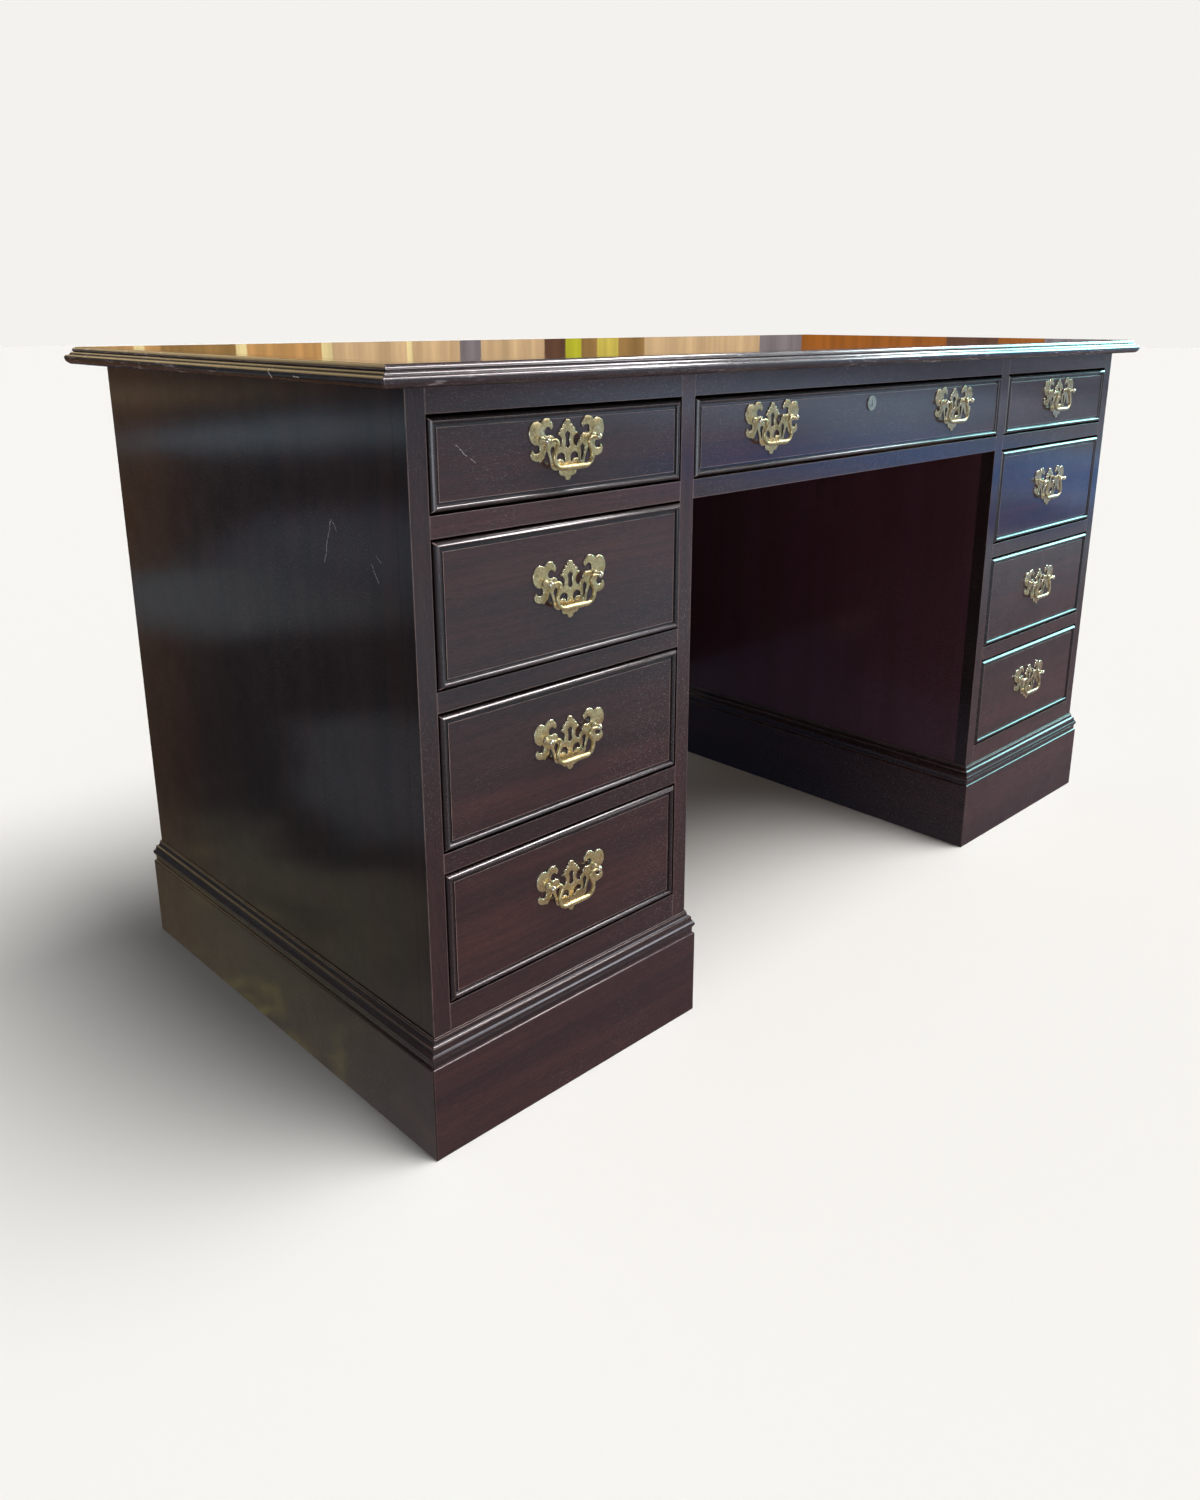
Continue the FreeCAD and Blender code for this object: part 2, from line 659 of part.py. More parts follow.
# ---------------------------------------------------------------- lock
def lock_parts(field_y, z):
    """Housing with its nut, and the plug with its cam, at the given centre."""
    back = FRONT_THICKNESS + LOCK_NUT_THICKNESS + LOCK_BODY_PAST_NUT
    bore = Part.makeCylinder(LOCK_PLUG_RADIUS + LOCK_PLUG_CLEARANCE,
                             back + LOCK_FACE_PROUD)
    face = Part.makeCylinder(LOCK_FACE_RADIUS, LOCK_FACE_PROUD)
    barrel = moved(Part.makeCylinder(LOCK_BODY_RADIUS, back), z=-back)
    housing = face.fuse(barrel).removeSplitter().cut(moved(bore, z=-back))
    nut = hexagon_nut(LOCK_NUT_ACROSS_FLATS, LOCK_NUT_THICKNESS,
                      LOCK_BODY_RADIUS + THREAD_CLEARANCE)
    nut = moved(nut, z=-FRONT_THICKNESS - LOCK_NUT_THICKNESS)
    plug_length = back + LOCK_FACE_PROUD + CAM_GAP
    plug = moved(Part.makeCylinder(LOCK_PLUG_RADIUS, plug_length), z=-back - CAM_GAP)
    slot = block((-KEY_SLOT_WIDTH / 2, KEY_SLOT_WIDTH / 2),
                 (-KEY_SLOT_LENGTH / 2, KEY_SLOT_LENGTH / 2),
                 (LOCK_FACE_PROUD - KEY_SLOT_DEPTH, LOCK_FACE_PROUD))
    cam_reach = top_opening_high + CAM_PAST_RAIL - z
    arm = block((0, cam_reach), (-CAM_WIDTH / 2, CAM_WIDTH / 2), (0, CAM_THICKNESS))
    hub = Part.makeCylinder(CAM_WIDTH / 2, CAM_THICKNESS)
    cam = moved(arm.fuse(hub), z=-back - CAM_GAP - CAM_THICKNESS)
    plug = plug.cut(slot).fuse(cam).removeSplitter()
    placed = [facing_front(shape) for shape in (housing, nut, plug)]
    return [moved(shape, y=field_y, z=z) for shape in placed]


# ---------------------------------------------------------------- drawers
def front_blank(width, height):
    """Drawer front lying flat, middle at the origin, its field at z = 0."""
    back = -FRONT_THICKNESS
    shoulder = (0, -BEAD_SHOULDER)
    crest = (-BEAD_CREST_INSET, BEAD_PROUD)
    quirk = (-BEAD_WIDTH, -QUIRK_DEPTH)
    steps = [
        ((0, back),),
        (shoulder,),
        (upright_arc(shoulder, crest), crest),
        (upright_arc(quirk, crest), quirk),
        ((QUIRK_SLOPE - field_inset, -QUIRK_DEPTH),),
        ((-field_inset, 0),),
    ]
    ring = mitred_ring((-field_inset, back), steps, width / 2, height / 2, gap=0)
    core_x = width / 2 - field_inset
    core_y = height / 2 - field_inset
    core = block((-core_x, core_x), (-core_y, core_y), (back, 0))
    return core.fuse(ring).removeSplitter()


def drawer_front(width, height, pulls, pull_rise, lock_rise):
    """Stood-up front with its holes and groove, middle of its field at the origin."""
    cutters = []
    for pull_x in pulls:
        for sign in (-1, 1):
            hole = Part.makeCylinder(SHANK_RADIUS + HOLE_CLEARANCE, FRONT_THICKNESS)
            cutters.append(moved(hole, pull_x + sign * POST_SPACING / 2, pull_rise,
                                 -FRONT_THICKNESS))
    if lock_rise is not None:
        hole = Part.makeCylinder(LOCK_BODY_RADIUS + HOLE_CLEARANCE, FRONT_THICKNESS)
        cutters.append(moved(hole, y=lock_rise, z=-FRONT_THICKNESS))
    groove_x = width / 2 - BOX_SIDE_THICKNESS + BOTTOM_GROOVE_DEPTH
    groove_low = -height / 2 - GAP_BOTTOM + RUNNING_CLEARANCE + DRAWER_BOTTOM_LIFT
    cutters.append(block(
        (-groove_x, groove_x),
        (groove_low - BOTTOM_GROOVE_PLAY,
         groove_low + DRAWER_BOTTOM_THICKNESS + BOTTOM_GROOVE_PLAY),
        (-FRONT_THICKNESS, BOTTOM_GROOVE_DEPTH - FRONT_THICKNESS)))
    return facing_front(front_blank(width, height).cut(cutters))


def drawer_box(width, low, high, forward):
    """Sides, back and bottom board of one drawer, middle at x = 0."""
    y_front = front_y + FRONT_THICKNESS - forward
    y_back = box_back_y - forward
    side_low = low + RUNNING_CLEARANCE
    side_high = high - BOX_TOP_CLEARANCE
    board_low = side_low + DRAWER_BOTTOM_LIFT
    board_high = board_low + DRAWER_BOTTOM_THICKNESS
    half = width / 2
    inner = half - BOX_SIDE_THICKNESS
    groove_x = inner + BOTTOM_GROOVE_DEPTH
    groove = block((-groove_x, groove_x), (y_front, y_back),
                   (board_low - BOTTOM_GROOVE_PLAY, board_high + BOTTOM_GROOVE_PLAY))
    solids = []
    for sign in (-1, 1):
        side = block((sign * inner, sign * half), (y_front, y_back),
                     (side_low, side_high))
        solids.append(side.cut(groove))
    solids.append(block((-inner, inner), (y_back - BOX_SIDE_THICKNESS, y_back),
                        (board_high, side_high - BOX_BACK_DROP)))
    edge = groove_x - BOTTOM_GROOVE_PLAY
    tongue = y_front - BOTTOM_GROOVE_DEPTH + BOTTOM_GROOVE_PLAY
    solids.append(block((-edge, edge), (tongue, y_back), (board_low, board_high)))
    return solids


def make_drawer(name, mid_x, bay_width, row, pulls, has_lock):
    """Write one drawer's front, box, pulls, bails and lock."""
    forward = SHORT_CLOSING.get(name, 0.0)
    field_y = front_y - forward
    low, high = levels[row]
    width = bay_width - 2 * GAP_SIDE
    front_low = low + GAP_BOTTOM
    front_high = high - GAP_TOP
    middle = (front_low + front_high) / 2
    rise = PULL_RISE if row else TOP_ROW_PULL_RISE
    front = drawer_front(width, front_high - front_low, pulls, rise,
                         LOCK_RISE if has_lock else None)
    save(name + "_front", moved(front, mid_x, field_y, middle))
    box = drawer_box(width, low, high, forward)
    save(name + "_box", [moved(solid, mid_x) for solid in box])
    fixtures = []
    for pull_x in pulls:
        for solid in fixture_solids:
            fixtures.append(moved(facing_front(solid), mid_x + pull_x, field_y,
                                  middle + rise))
    save(name + "_pull_plate", fixtures)
    labels = [""] if len(pulls) == 1 else ["_left", "_right"]
    for pull_x, label in zip(pulls, labels):
        hung = moved(facing_front(bail_solid), mid_x + pull_x,
                     field_y - BAIL_STANDOFF, middle + rise)
        save(name + "_bail" + label, hung)
    if has_lock:
        housing, nut, plug = lock_parts(field_y, middle + LOCK_RISE)
        save("lock_housing", [housing, nut])
        save("lock_plug", plug)


def stop_blocks(name, mid_x, bay_width, row):
    """Two blocks on the runners, just behind a closed drawer's sides."""
    low, _ = levels[row]
    y0 = box_back_y - SHORT_CLOSING.get(name, 0.0) + RUNNING_CLEARANCE
    blocks = []
    for sign in (-1, 1):
        outer = mid_x + sign * (bay_width / 2 - GAP_SIDE)
        blocks.append(block((outer, outer - sign * BOX_SIDE_THICKNESS),
                            (y0, y0 + STOP_LENGTH), (low, low + STOP_HEIGHT)))
    return blocks


# ---------------------------------------------------------------- build
os.makedirs("parts", exist_ok=True)

save("top_panel", top_panel())
save("top_edge_moulding", top_lipping())
save("top_screws", [moved(screw(0, 0), x, y) for x, y in screw_places()])
save("front_stiles", front_stiles())
save("centre_drawer_rails", centre_rails())
save("drawer_runners", runners() + kickers())
save("modesty_panel", back_board((-knee_half, knee_half), MODESTY_FLOOR_GAP))
save("pedestal_backs", [back_board(between_panels(s), PLINTH_HEIGHT)
                        for s in SIDES.values()])
save("pedestal_bottoms", [bottom_board(s) for s in SIDES.values()])
save("plinth_corner_blocks", corner_blocks(-1) + corner_blocks(1))

for side_name, side in SIDES.items():
    save(side_name + "_end_panel",
         side_panel(side * half_body, side * (half_body - PANEL_THICKNESS)))
    save(side_name + "_inner_side",
         side_panel(side * knee_half, side * (knee_half + PANEL_THICKNESS)))
    save(side_name + "_drawer_rails", pedestal_rails(side))
    save(side_name + "_plinth", plinth(side))
    save(side_name + "_base_moulding", base_moulding(side))

drawers = [("%s_drawer_%d" % (side_name, row + 1), side * pedestal_mid, opening_width,
            row, [0.0], False)
           for side_name, side in SIDES.items() for row in range(len(levels))]
drawers.append(("centre_drawer", 0.0, 2 * knee_half, 0,
                [-CENTRE_PULL_OFFSET, CENTRE_PULL_OFFSET], True))
stops = []
for drawer in drawers:
    make_drawer(*drawer)
    stops += stop_blocks(*drawer[:4])
save("drawer_stops", stops)
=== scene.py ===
import json
import math

import bmesh
import bpy
from mathutils import Matrix, Vector
from mathutils.geometry import delaunay_2d_cdt
from mathutils.kdtree import KDTree

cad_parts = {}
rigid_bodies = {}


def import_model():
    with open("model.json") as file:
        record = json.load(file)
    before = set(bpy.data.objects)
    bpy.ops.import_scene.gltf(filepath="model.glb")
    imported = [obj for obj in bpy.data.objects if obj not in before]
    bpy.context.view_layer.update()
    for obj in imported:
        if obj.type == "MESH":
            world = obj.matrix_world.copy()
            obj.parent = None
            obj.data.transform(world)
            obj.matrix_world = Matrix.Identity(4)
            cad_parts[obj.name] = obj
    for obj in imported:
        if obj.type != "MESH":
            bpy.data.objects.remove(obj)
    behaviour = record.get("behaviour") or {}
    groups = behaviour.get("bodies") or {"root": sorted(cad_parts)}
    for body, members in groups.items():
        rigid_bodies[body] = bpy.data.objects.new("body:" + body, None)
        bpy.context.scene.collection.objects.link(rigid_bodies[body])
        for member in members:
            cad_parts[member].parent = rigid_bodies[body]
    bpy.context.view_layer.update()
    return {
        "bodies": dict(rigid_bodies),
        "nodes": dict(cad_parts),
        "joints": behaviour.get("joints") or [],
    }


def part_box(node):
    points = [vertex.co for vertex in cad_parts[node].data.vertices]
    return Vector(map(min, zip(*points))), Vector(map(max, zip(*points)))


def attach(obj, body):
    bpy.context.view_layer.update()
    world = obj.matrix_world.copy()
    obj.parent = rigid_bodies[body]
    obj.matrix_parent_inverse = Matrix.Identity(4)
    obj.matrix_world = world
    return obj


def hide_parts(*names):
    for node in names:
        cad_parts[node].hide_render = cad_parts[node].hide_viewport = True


# Looks of the pedestal desk: dark lacquered mahogany, antique brass pulls, nickel lock.
# Everything is in metres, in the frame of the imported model, and MM is one millimetre.
MM = 0.001

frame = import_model()

# ---------------------------------------- sizes and places
# Camera: where it stands, how it looks (angles in radians) and its lens
CAMERA_PLACE = Vector((-1.2219, -1.1024, 0.7939))
CAMERA_YAW = 0.7742
CAMERA_PITCH = 0.2815
CAMERA_ROLL = -0.0024
CAMERA_LENS = 27.755
SENSOR_WIDTH = 36.0
NEAR_CLIP = 0.02
CAMERA_SHIFT_X = -0.00786
CAMERA_SHIFT_Y = -0.06775

# Light: shares of full light that fall on the floor
SUN_SHARE = 0.90
FILL_SHARE = 0.14
SUN_ELEVATION = math.radians(65)
SUN_AZIMUTH = math.radians(43)
SUN_SIZE = math.radians(38)
PAPER = (0.905, 0.888, 0.855)

# What gloss sees: a dim room over a floor painted with pools of light and shade
ROOM_LOW = (0.085, 0.095, 0.115)
ROOM_HIGH = (0.15, 0.165, 0.19)
# The floor in front of the desk, from its plinths outwards
FLOOR_NEAR = (0.29, 0.24, 0.27)
FLOOR_MIDDLE = (0.42, 0.56, 0.66)
FLOOR_FAR = (0.36, 0.42, 0.52)
# At its left: beside the plinth, where the light ripples, then further out
FLOOR_SKIRT = (0.21, 0.185, 0.135)
FLOOR_OLIVE = (0.46, 0.40, 0.17)
FLOOR_SIDE = (0.022, 0.026, 0.034)
# Behind it, in the kneehole, where it is painted in shade, and at its right
FLOOR_BACK = (0.16, 0.085, 0.045)
FLOOR_KNEE = (0.038, 0.041, 0.072)
FLOOR_RIGHT = (0.075, 0.055, 0.048)
# Where along x or y, in metres, each of these tones comes in
NEAR_TO_MIDDLE = (-0.7, -1.6)
MIDDLE_TO_FAR = (-2.0, -3.6)
SIDE_TO_FRONT = (0.1, -0.5)
SKIRT_TO_SIDE = (-0.72, -0.90)
KNEE_TO_LEFT = (-0.60, -0.66)
KNEE_TO_RIGHT = (0.55, 0.75)
# The line to the floor behind the desk runs aslant
SIDE_TO_BACK = (-1.5, -0.8)
BACK_SLANT = 2.2
FLOOR_HALF_SIZE = 30.0
# Tones of the warm wall behind the desk
CREAM = (1.0, 0.80, 0.38)
PEACH = (0.70, 0.47, 0.25)
TAN = (0.60, 0.32, 0.11)
OLIVE = (0.34, 0.19, 0.06)
LIME = (0.58, 0.56, 0.03)
YELLOW = (0.66, 0.52, 0.09)
GREY = (0.24, 0.20, 0.21)
ORANGE = (0.36, 0.11, 0.010)
UMBER = (0.12, 0.055, 0.030)
# Bands of that wall, which the top mirrors: where each starts along it, in metres
WALL_BANDS = [(-5.5, TAN), (-3.03, CREAM), (-2.96, TAN), (-2.86, OLIVE), (-2.38, CREAM), (-2.31, TAN),
              (-1.80, CREAM), (-1.73, PEACH), (-1.27, CREAM), (-1.22, PEACH), (-0.91, GREY),
              (-0.76, PEACH), (-0.36, UMBER), (-0.21, LIME), (-0.10, OLIVE), (0.0, YELLOW),
              (0.13, OLIVE), (0.30, PEACH), (1.07, GREY), (1.36, ORANGE), (2.30, UMBER),
              (2.66, ORANGE), (2.97, GREY), (3.37, UMBER)]
# Pools of light on the floor at the left of the desk: middle, reach and colour
SIDE_POOLS = [((-1.62, 2.00), (0.40, 0.70), (0.21, 0.245, 0.27)),
              ((-1.22, 0.56), (0.24, 0.55), (0.16, 0.185, 0.215)),
              ((-2.5, 2.3), (0.8, 1.1), (0.20, 0.24, 0.31)),
              ((-5.0, 6.2), (2.4, 1.5), (0.42, 0.56, 0.68)),
              ((-5.0, 10.8), (3.0, 1.9), (0.42, 0.28, 0.15)),
              ((-0.86, 0.15), (0.10, 0.5), (0.18, 0.16, 0.12))]
# Pools of cool daylight on the floor in front of it
FRONT_POOLS = [((7.8, -6.6), (3.6, 2.8), (0.90, 1.25, 1.75)),
               ((4.6, -3.5), (2.0, 1.0), (0.12, 0.46, 1.22)),
               ((6.0, -4.1), (0.9, 0.6), (0.68, 1.00, 1.50)),
               ((4.5, -2.3), (1.0, 0.8), (0.04, 0.36, 1.05)),
               ((5.4, -2.4), (0.6, 0.5), (0.38, 0.72, 1.40)),
               ((12.2, -6.5), (2.2, 3.0), (0.02, 0.0, 0.08)),
               ((4.1, -3.9), (0.7, 0.5), (0.0, 0.20, 0.92)),
               ((3.2, -1.75), (0.8, 0.4), (0.0, 0.12, 0.52)),
               ((4.1, -1.75), (0.5, 0.4), (0.28, 0.60, 1.25))]

# Pull: plate, posts and bail, as the solids have them (millimetres)
POST_SPACING = 64.0
PLATE_THICKNESS = 1.6
PLATE_RIM = 0.6
PLATE_SPACING = 0.5
BAIL_STANDOFF = 9.5
FRONT_THICKNESS = 20.0
SHANK_RADIUS = 2.0
SHANK_PAST_FRONT = 5.2
NUT_ACROSS = 8.0
NUT_THICKNESS = 3.2
NUT_BORE_RADIUS = 2.05
BALL_RADIUS = 3.1
PIN_RADIUS = 1.1
PIN_HOLE_RADIUS = 1.18
PIN_DEPTH = 3.1
END_PLAY = 0.3
BAIL_DROP = 25.5
BAIL_NECK_RADIUS = 4.2
BAIL_NECK_RISE = 0.6
BAIL_NECK_INSET = 8.2
BAIL_CORNER_RADIUS = 9.5
BAIL_CORNER_INSET = 17.7
# Places between which the brass is painted paler, as painted cool light from the right
# (metres), and steps between the pulls' noise
LEAST_WORN_X = -0.35
MOST_WORN_X = 0.25
BAIL_SEED_STEP = 0.37
PLATE_SEED_STEP = 0.53

# Half outline of the plate, x from its middle and z from the posts' axis, from the
# finial down to the drop. A step is (end,) for a line or (middle, end) for an arc.
PLATE_START = (0, 17.3)
PLATE_STEPS = [
    ((3.3, 15.9), (3.2, 12.4)),
    ((6.5, 11.8), (5.9, 9.4)),
    ((9.4, 8.6), (9.0, 6.0)),
    ((11.2, 5.5), (12.4, 3.8)),
    ((7.0, -1.5), (12.3, -8.4)),
    ((13.0, -5.0), (16.4, -2.6)),
    ((17.8, 2.6), (22.8, 3.3)),
    ((28.0, 7.3), (22.3, 11.0)),
    ((19.4, 8.9),),
    ((17.9, 12.9), (20.6, 16.4)),
    ((22.0, 18.9),),
    ((28.0, 19.0), (32.7, 15.1)),
    ((39.5, 17.0), (45.2, 11.8)),
    ((46.3, 4.5), (38.8, -4.4)),
    ((36.2, -4.2),),
    ((36.4, -11.3), (42.3, -8.1)),
    ((45.0, -12.4), (40.5, -18.0)),
    ((38.2, -18.9), (35.6, -18.6)),
    ((34.0, -20.3),),
    ((29.4, -16.0), (26.4, -9.8)),
    ((22.9, -16.4), (21.2, -22.0)),
    ((18.8, -27.2), (13.8, -28.8)),
    ((10.6, -29.0),),
    ((9.9, -33.0), (6.2, -34.4)),
    ((3.4, -35.5),),
    ((2.5, -38.0), (0, -38.9)),
]
KEYHOLE_START = (0, 6.6)
KEYHOLE_STEPS = [
    ((3.5, 3.6),),
    ((2.5, 0.2), (3.0, -6.9)),
    ((0, -9.2),),
]
ARCH_START = (3.4, -18.6)
ARCH_STEPS = [
    ((8.3, -13.0), (13.6, -17.6)),
    ((12.9, -19.4),),
    ((7.8, -19.0), (4.2, -22.3)),
]
SLOT_START = (18.2, -6.4)
SLOT_STEPS = [
    ((21.0, -9.0), (20.4, -13.5)),
    ((19.2, -18.2), (16.6, -21.6)),
    ((16.7, -14.8), (15.8, -8.6)),
]


# ---------------------------------------- material nodes
AO_SAMPLES = 8


class Tree:
    """Short way to write shader nodes: most calls add a node and give its output."""

    def __init__(self, owner):
        """owner is a world, or the name of a new material."""
        self.owner = bpy.data.materials.new(owner) if isinstance(owner, str) else owner
        self.owner.use_nodes = True
        self.nodes = self.owner.node_tree.nodes
        self.links = self.owner.node_tree.links
        self.nodes.clear()

    def add(self, kind, inputs=None, **settings):
        node = self.nodes.new("ShaderNode" + kind)
        for key, value in settings.items():
            setattr(node, key, value)
        for key, value in (inputs or {}).items():
            if isinstance(value, bpy.types.NodeSocket):
                self.links.new(value, node.inputs[key])
            else:
                node.inputs[key].default_value = value
        return node

    def math(self, operation, a, b=0.0, clamp=False):
        node = self.add("Math", {0: a, 1: b}, operation=operation, use_clamp=clamp)
        return node.outputs[0]

    def axes(self, vector):
        """The x, y and z of a vector."""
        return self.add("SeparateXYZ", {0: vector}).outputs

    def vector_math(self, operation, a, b):
        return self.add("VectorMath", {0: a, 1: b}, operation=operation)

    def remap(self, value, low, high, to_low=0.0, to_high=1.0, kind="SMOOTHSTEP"):
        node = self.add("MapRange", {"Value": value, "From Min": low, "From Max": high,
                                     "To Min": to_low, "To Max": to_high},
                        interpolation_type=kind)
        return node.outputs["Result"]

    def mix(self, factor, a, b, blend="MIX"):
        colours = [c if isinstance(c, bpy.types.NodeSocket) else (*c, 1) for c in (a, b)]
        node = self.add("Mix", {0: factor, 6: colours[0], 7: colours[1]},
                        data_type="RGBA", blend_type=blend)
        return node.outputs[2]

    def noise(self, place, scale, detail=2.0, roughness=0.5, distortion=0.0):
        """Noise by position; scale is one number or one per axis, in waves per metre."""
        if isinstance(scale, tuple):
            place = self.vector_math("MULTIPLY", place, scale).outputs[0]
            scale = 1.0
        node = self.add("TexNoise", {"Vector": place, "Scale": scale, "Detail": detail,
                                     "Roughness": roughness, "Distortion": distortion})
        return node.outputs[0]

    def warped(self, place, scale, detail, reach):
        """Position moved about by noise, by up to half of reach each way."""
        uneven = self.add("TexNoise", {"Vector": place, "Scale": scale, "Detail": detail})
        uneven = self.vector_math("SUBTRACT", uneven.outputs["Color"], (0.5, 0.5, 0.5)).outputs[0]
        uneven = self.vector_math("MULTIPLY", uneven, reach).outputs[0]
        return self.vector_math("ADD", place, uneven).outputs[0]

    def product(self, first, *others):
        for other in others:
            first = self.math("MULTIPLY", first, other)
        return first

    def bump(self, height, distance, normal=None, strength=1.0):
        inputs = {"Height": height, "Distance": distance, "Strength": strength}
        if normal is not None:
            inputs["Normal"] = normal
        return self.add("Bump", inputs).outputs[0]

    def sharpness(self, distance):
        """0 on flat faces to about 0.5 on edges, by how little lies inside."""
        solid = self.add("AmbientOcclusion", {"Distance": distance}, samples=AO_SAMPLES,
                         inside=True, only_local=True)
        return self.math("SUBTRACT", 1.0, solid.outputs["AO"], clamp=True)

    def openness(self, distance):
        """1 in the open to 0 deep in a corner or gap."""
        around = self.add("AmbientOcclusion", {"Distance": distance}, samples=AO_SAMPLES)
        return around.outputs["AO"]

    def scratch(self, place, start, end, width):
        """1 along the straight line between two points, to 0 at width from it."""
        start, end = Vector(start), Vector(end)
        run = end - start
        offset = self.vector_math("SUBTRACT", place, start).outputs[0]
        share = self.vector_math("DOT_PRODUCT", offset, run / run.length_squared).outputs["Value"]
        share = self.math("ADD", share, 0.0, clamp=True)
        on_line = self.add("VectorMath", {0: run, "Scale": share}, operation="SCALE").outputs[0]
        away = self.vector_math("DISTANCE", offset, on_line).outputs["Value"]
        return self.remap(away, width, 0.3 * width)

    def surface(self, inputs):
        shader = self.add("BsdfPrincipled", inputs)
        self.add("OutputMaterial", {"Surface": shader.outputs[0]})
        return self.owner


# How far apart two seeds lie in the noise, along each axis
SEED_STEPS = (3.17, 1.71, 2.39)


def grain_place(t, grain, seed):
    """Position, the same with the grain along its first axis, and two masks.

    grain is an axis letter, or (first axis, second axis, middle, half sizes, rim width) for
    grain that runs round a rectangle. With no rim width it runs along four mitred lengths,
    and the first mask is 0 on the mitres. With one it runs round in the rim of a board, and
    the second mask is 0 inside that rim. Both are 1 elsewhere.
    """
    place = t.add("TexCoord").outputs["Object"]
    numbers = dict(zip("XYZ", t.axes(place)))
    off_seam = in_rim = 1.0
    if isinstance(grain, str):
        first = numbers[grain]
        others = [numbers[a] for a in "XYZ" if a != grain]
        ends = (first, *others)
    else:
        a, b, middle, half, rim_width = grain
        gaps = []
        for axis, mid, reach in zip((a, b), middle, half):
            offset = t.math("ABSOLUTE", t.math("SUBTRACT", numbers[axis], mid))
            gaps.append(t.math("SUBTRACT", reach, offset))
        upright = t.math("LESS_THAN", gaps[0], gaps[1])
        if rim_width:
            near = t.math("LESS_THAN", gaps[0], rim_width)
            upright = t.math("MULTIPLY", upright, near)
            nearest = t.math("MINIMUM", *gaps)
            in_rim = t.remap(nearest, rim_width + 0.6 * MM, rim_width - 0.4 * MM)
        else:
            seam = t.math("ABSOLUTE", t.math("SUBTRACT", *gaps))
            off_seam = t.remap(seam, 1.0 * MM, 2.5 * MM)
        level = t.math("SUBTRACT", 1.0, upright)
        first = t.math("ADD", t.math("MULTIPLY", numbers[a], level),
                       t.math("MULTIPLY", numbers[b], upright))
        second = t.math("ADD", t.math("MULTIPLY", numbers[b], level),
                        t.math("MULTIPLY", numbers[a], upright))
        third = [numbers[c] for c in "XYZ" if c not in (a, b)][0]
        ends = (first, second, third)
    reordered = t.add("CombineXYZ", {i: ends[i] for i in range(3)}).outputs[0]
    shift = tuple(seed * step for step in SEED_STEPS)
    along = t.vector_math("ADD", reordered, shift).outputs[0]
    return place, along, off_seam, in_rim


# ---------------------------------------- materials
# Mahogany: its stain, the painted shade of faces towards +X and -X, and the painted shade of rims
DARK_BROWN = (0.0230, 0.0072, 0.0066)
RED_BROWN = (0.074, 0.0180, 0.0140)
WARM_BROWN = (0.095, 0.030, 0.020)
PORE_BROWN = (0.005, 0.003, 0.003)
SIDE_BROWN = (0.0070, 0.0050, 0.0058)
INNER_BROWN = (0.070, 0.022, 0.042)
GLAZE_BROWN = (0.0065, 0.0035, 0.0035)
# Worn edges, partly painted highlight; scuffs; scratches; dust, partly painted glints; painted gap
# shade
WORN_WOOD = (0.52, 0.35, 0.31)
SCUFF = (0.42, 0.35, 0.38)
SCRATCH = (0.50, 0.44, 0.42)
DUST = (0.24, 0.21, 0.24)
GAP_DARK = (0.003, 0.002, 0.002)
# Where the front frame lies along y, and the top along z
FRONT_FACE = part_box("front_stiles")[0][1]
TOP_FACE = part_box("top_edge_moulding")[1][2]
# Bare secondary wood
BARE_WOOD = (0.36, 0.215, 0.105)
PALE_WOOD = (0.50, 0.33, 0.18)
FIBRE_BROWN = (0.27, 0.15, 0.07)
BLOTCH_BROWN = (0.24, 0.14, 0.075)
# Painted shade in the corners of the bare wood
CORNER_BROWN = (0.09, 0.05, 0.03)
# Brass; old lacquer on it scatters part of the light
BRASS_DEEP = (0.56, 0.43, 0.20)
BRASS_LIGHT = (0.82, 0.66, 0.35)
BRASS_WORN = (0.60, 0.52, 0.37)
BRASS_SPOTS = (0.17, 0.12, 0.06)
BRASS_SPECKS = (0.28, 0.20, 0.10)
BRASS_BRIGHT = (0.95, 0.90, 0.70)
BRASS_GRIME = (0.030, 0.022, 0.012)
BRASS_METALLIC = 0.8
# Nickel and zinc-plated steel, each from its duller to its clearer tone
NICKEL_DULL = (0.42, 0.40, 0.31)
NICKEL_CLEAR = (0.60, 0.57, 0.46)
# Painted shade of the nickel in its recesses
NICKEL_GRIME = (0.03, 0.03, 0.03)
ZINC_DULL = (0.40, 0.40, 0.41)
ZINC_CLEAR = (0.58, 0.58, 0.57)


def stained(t, along, side_tone):
    """Colour of the stained wood, with painted shade on faces towards +X and -X, and the fibre and
    pores that the bump follows too.
    """
    figure = t.noise(along, (1.5, 26, 26), detail=4, roughness=0.55, distortion=0.3)
    streak = t.noise(along, (6, 170, 170), detail=3, roughness=0.6)
    fibre = t.noise(along, (70, 900, 900), detail=2, roughness=0.6)
    pores = t.remap(t.noise(along, (80, 1400, 1400), detail=1), 0.60, 0.70)
    colour = t.mix(t.remap(figure, 0.24, 0.76), DARK_BROWN, RED_BROWN)
    colour = t.mix(t.remap(streak, 0.35, 0.70, 0.0, 0.55), colour, DARK_BROWN)
    colour = t.mix(t.remap(fibre, 0.48, 0.72, 0.0, 0.35), colour, WARM_BROWN)
    colour = t.mix(t.math("MULTIPLY", pores, 0.6), colour, PORE_BROWN)
    # Painted shade: faces towards +X and -X are darker, in side_tone
    sideways = t.axes(t.add("NewGeometry").outputs["True Normal"])[0]
    on_side = t.remap(t.math("ABSOLUTE", sideways), 0.85, 0.97, 0.0, 0.72)
    side_colour = t.mix(t.remap(figure, 0.30, 0.70, 0.0, 0.5), side_tone, DARK_BROWN)
    return t.mix(on_side, colour, side_colour), fibre, pores


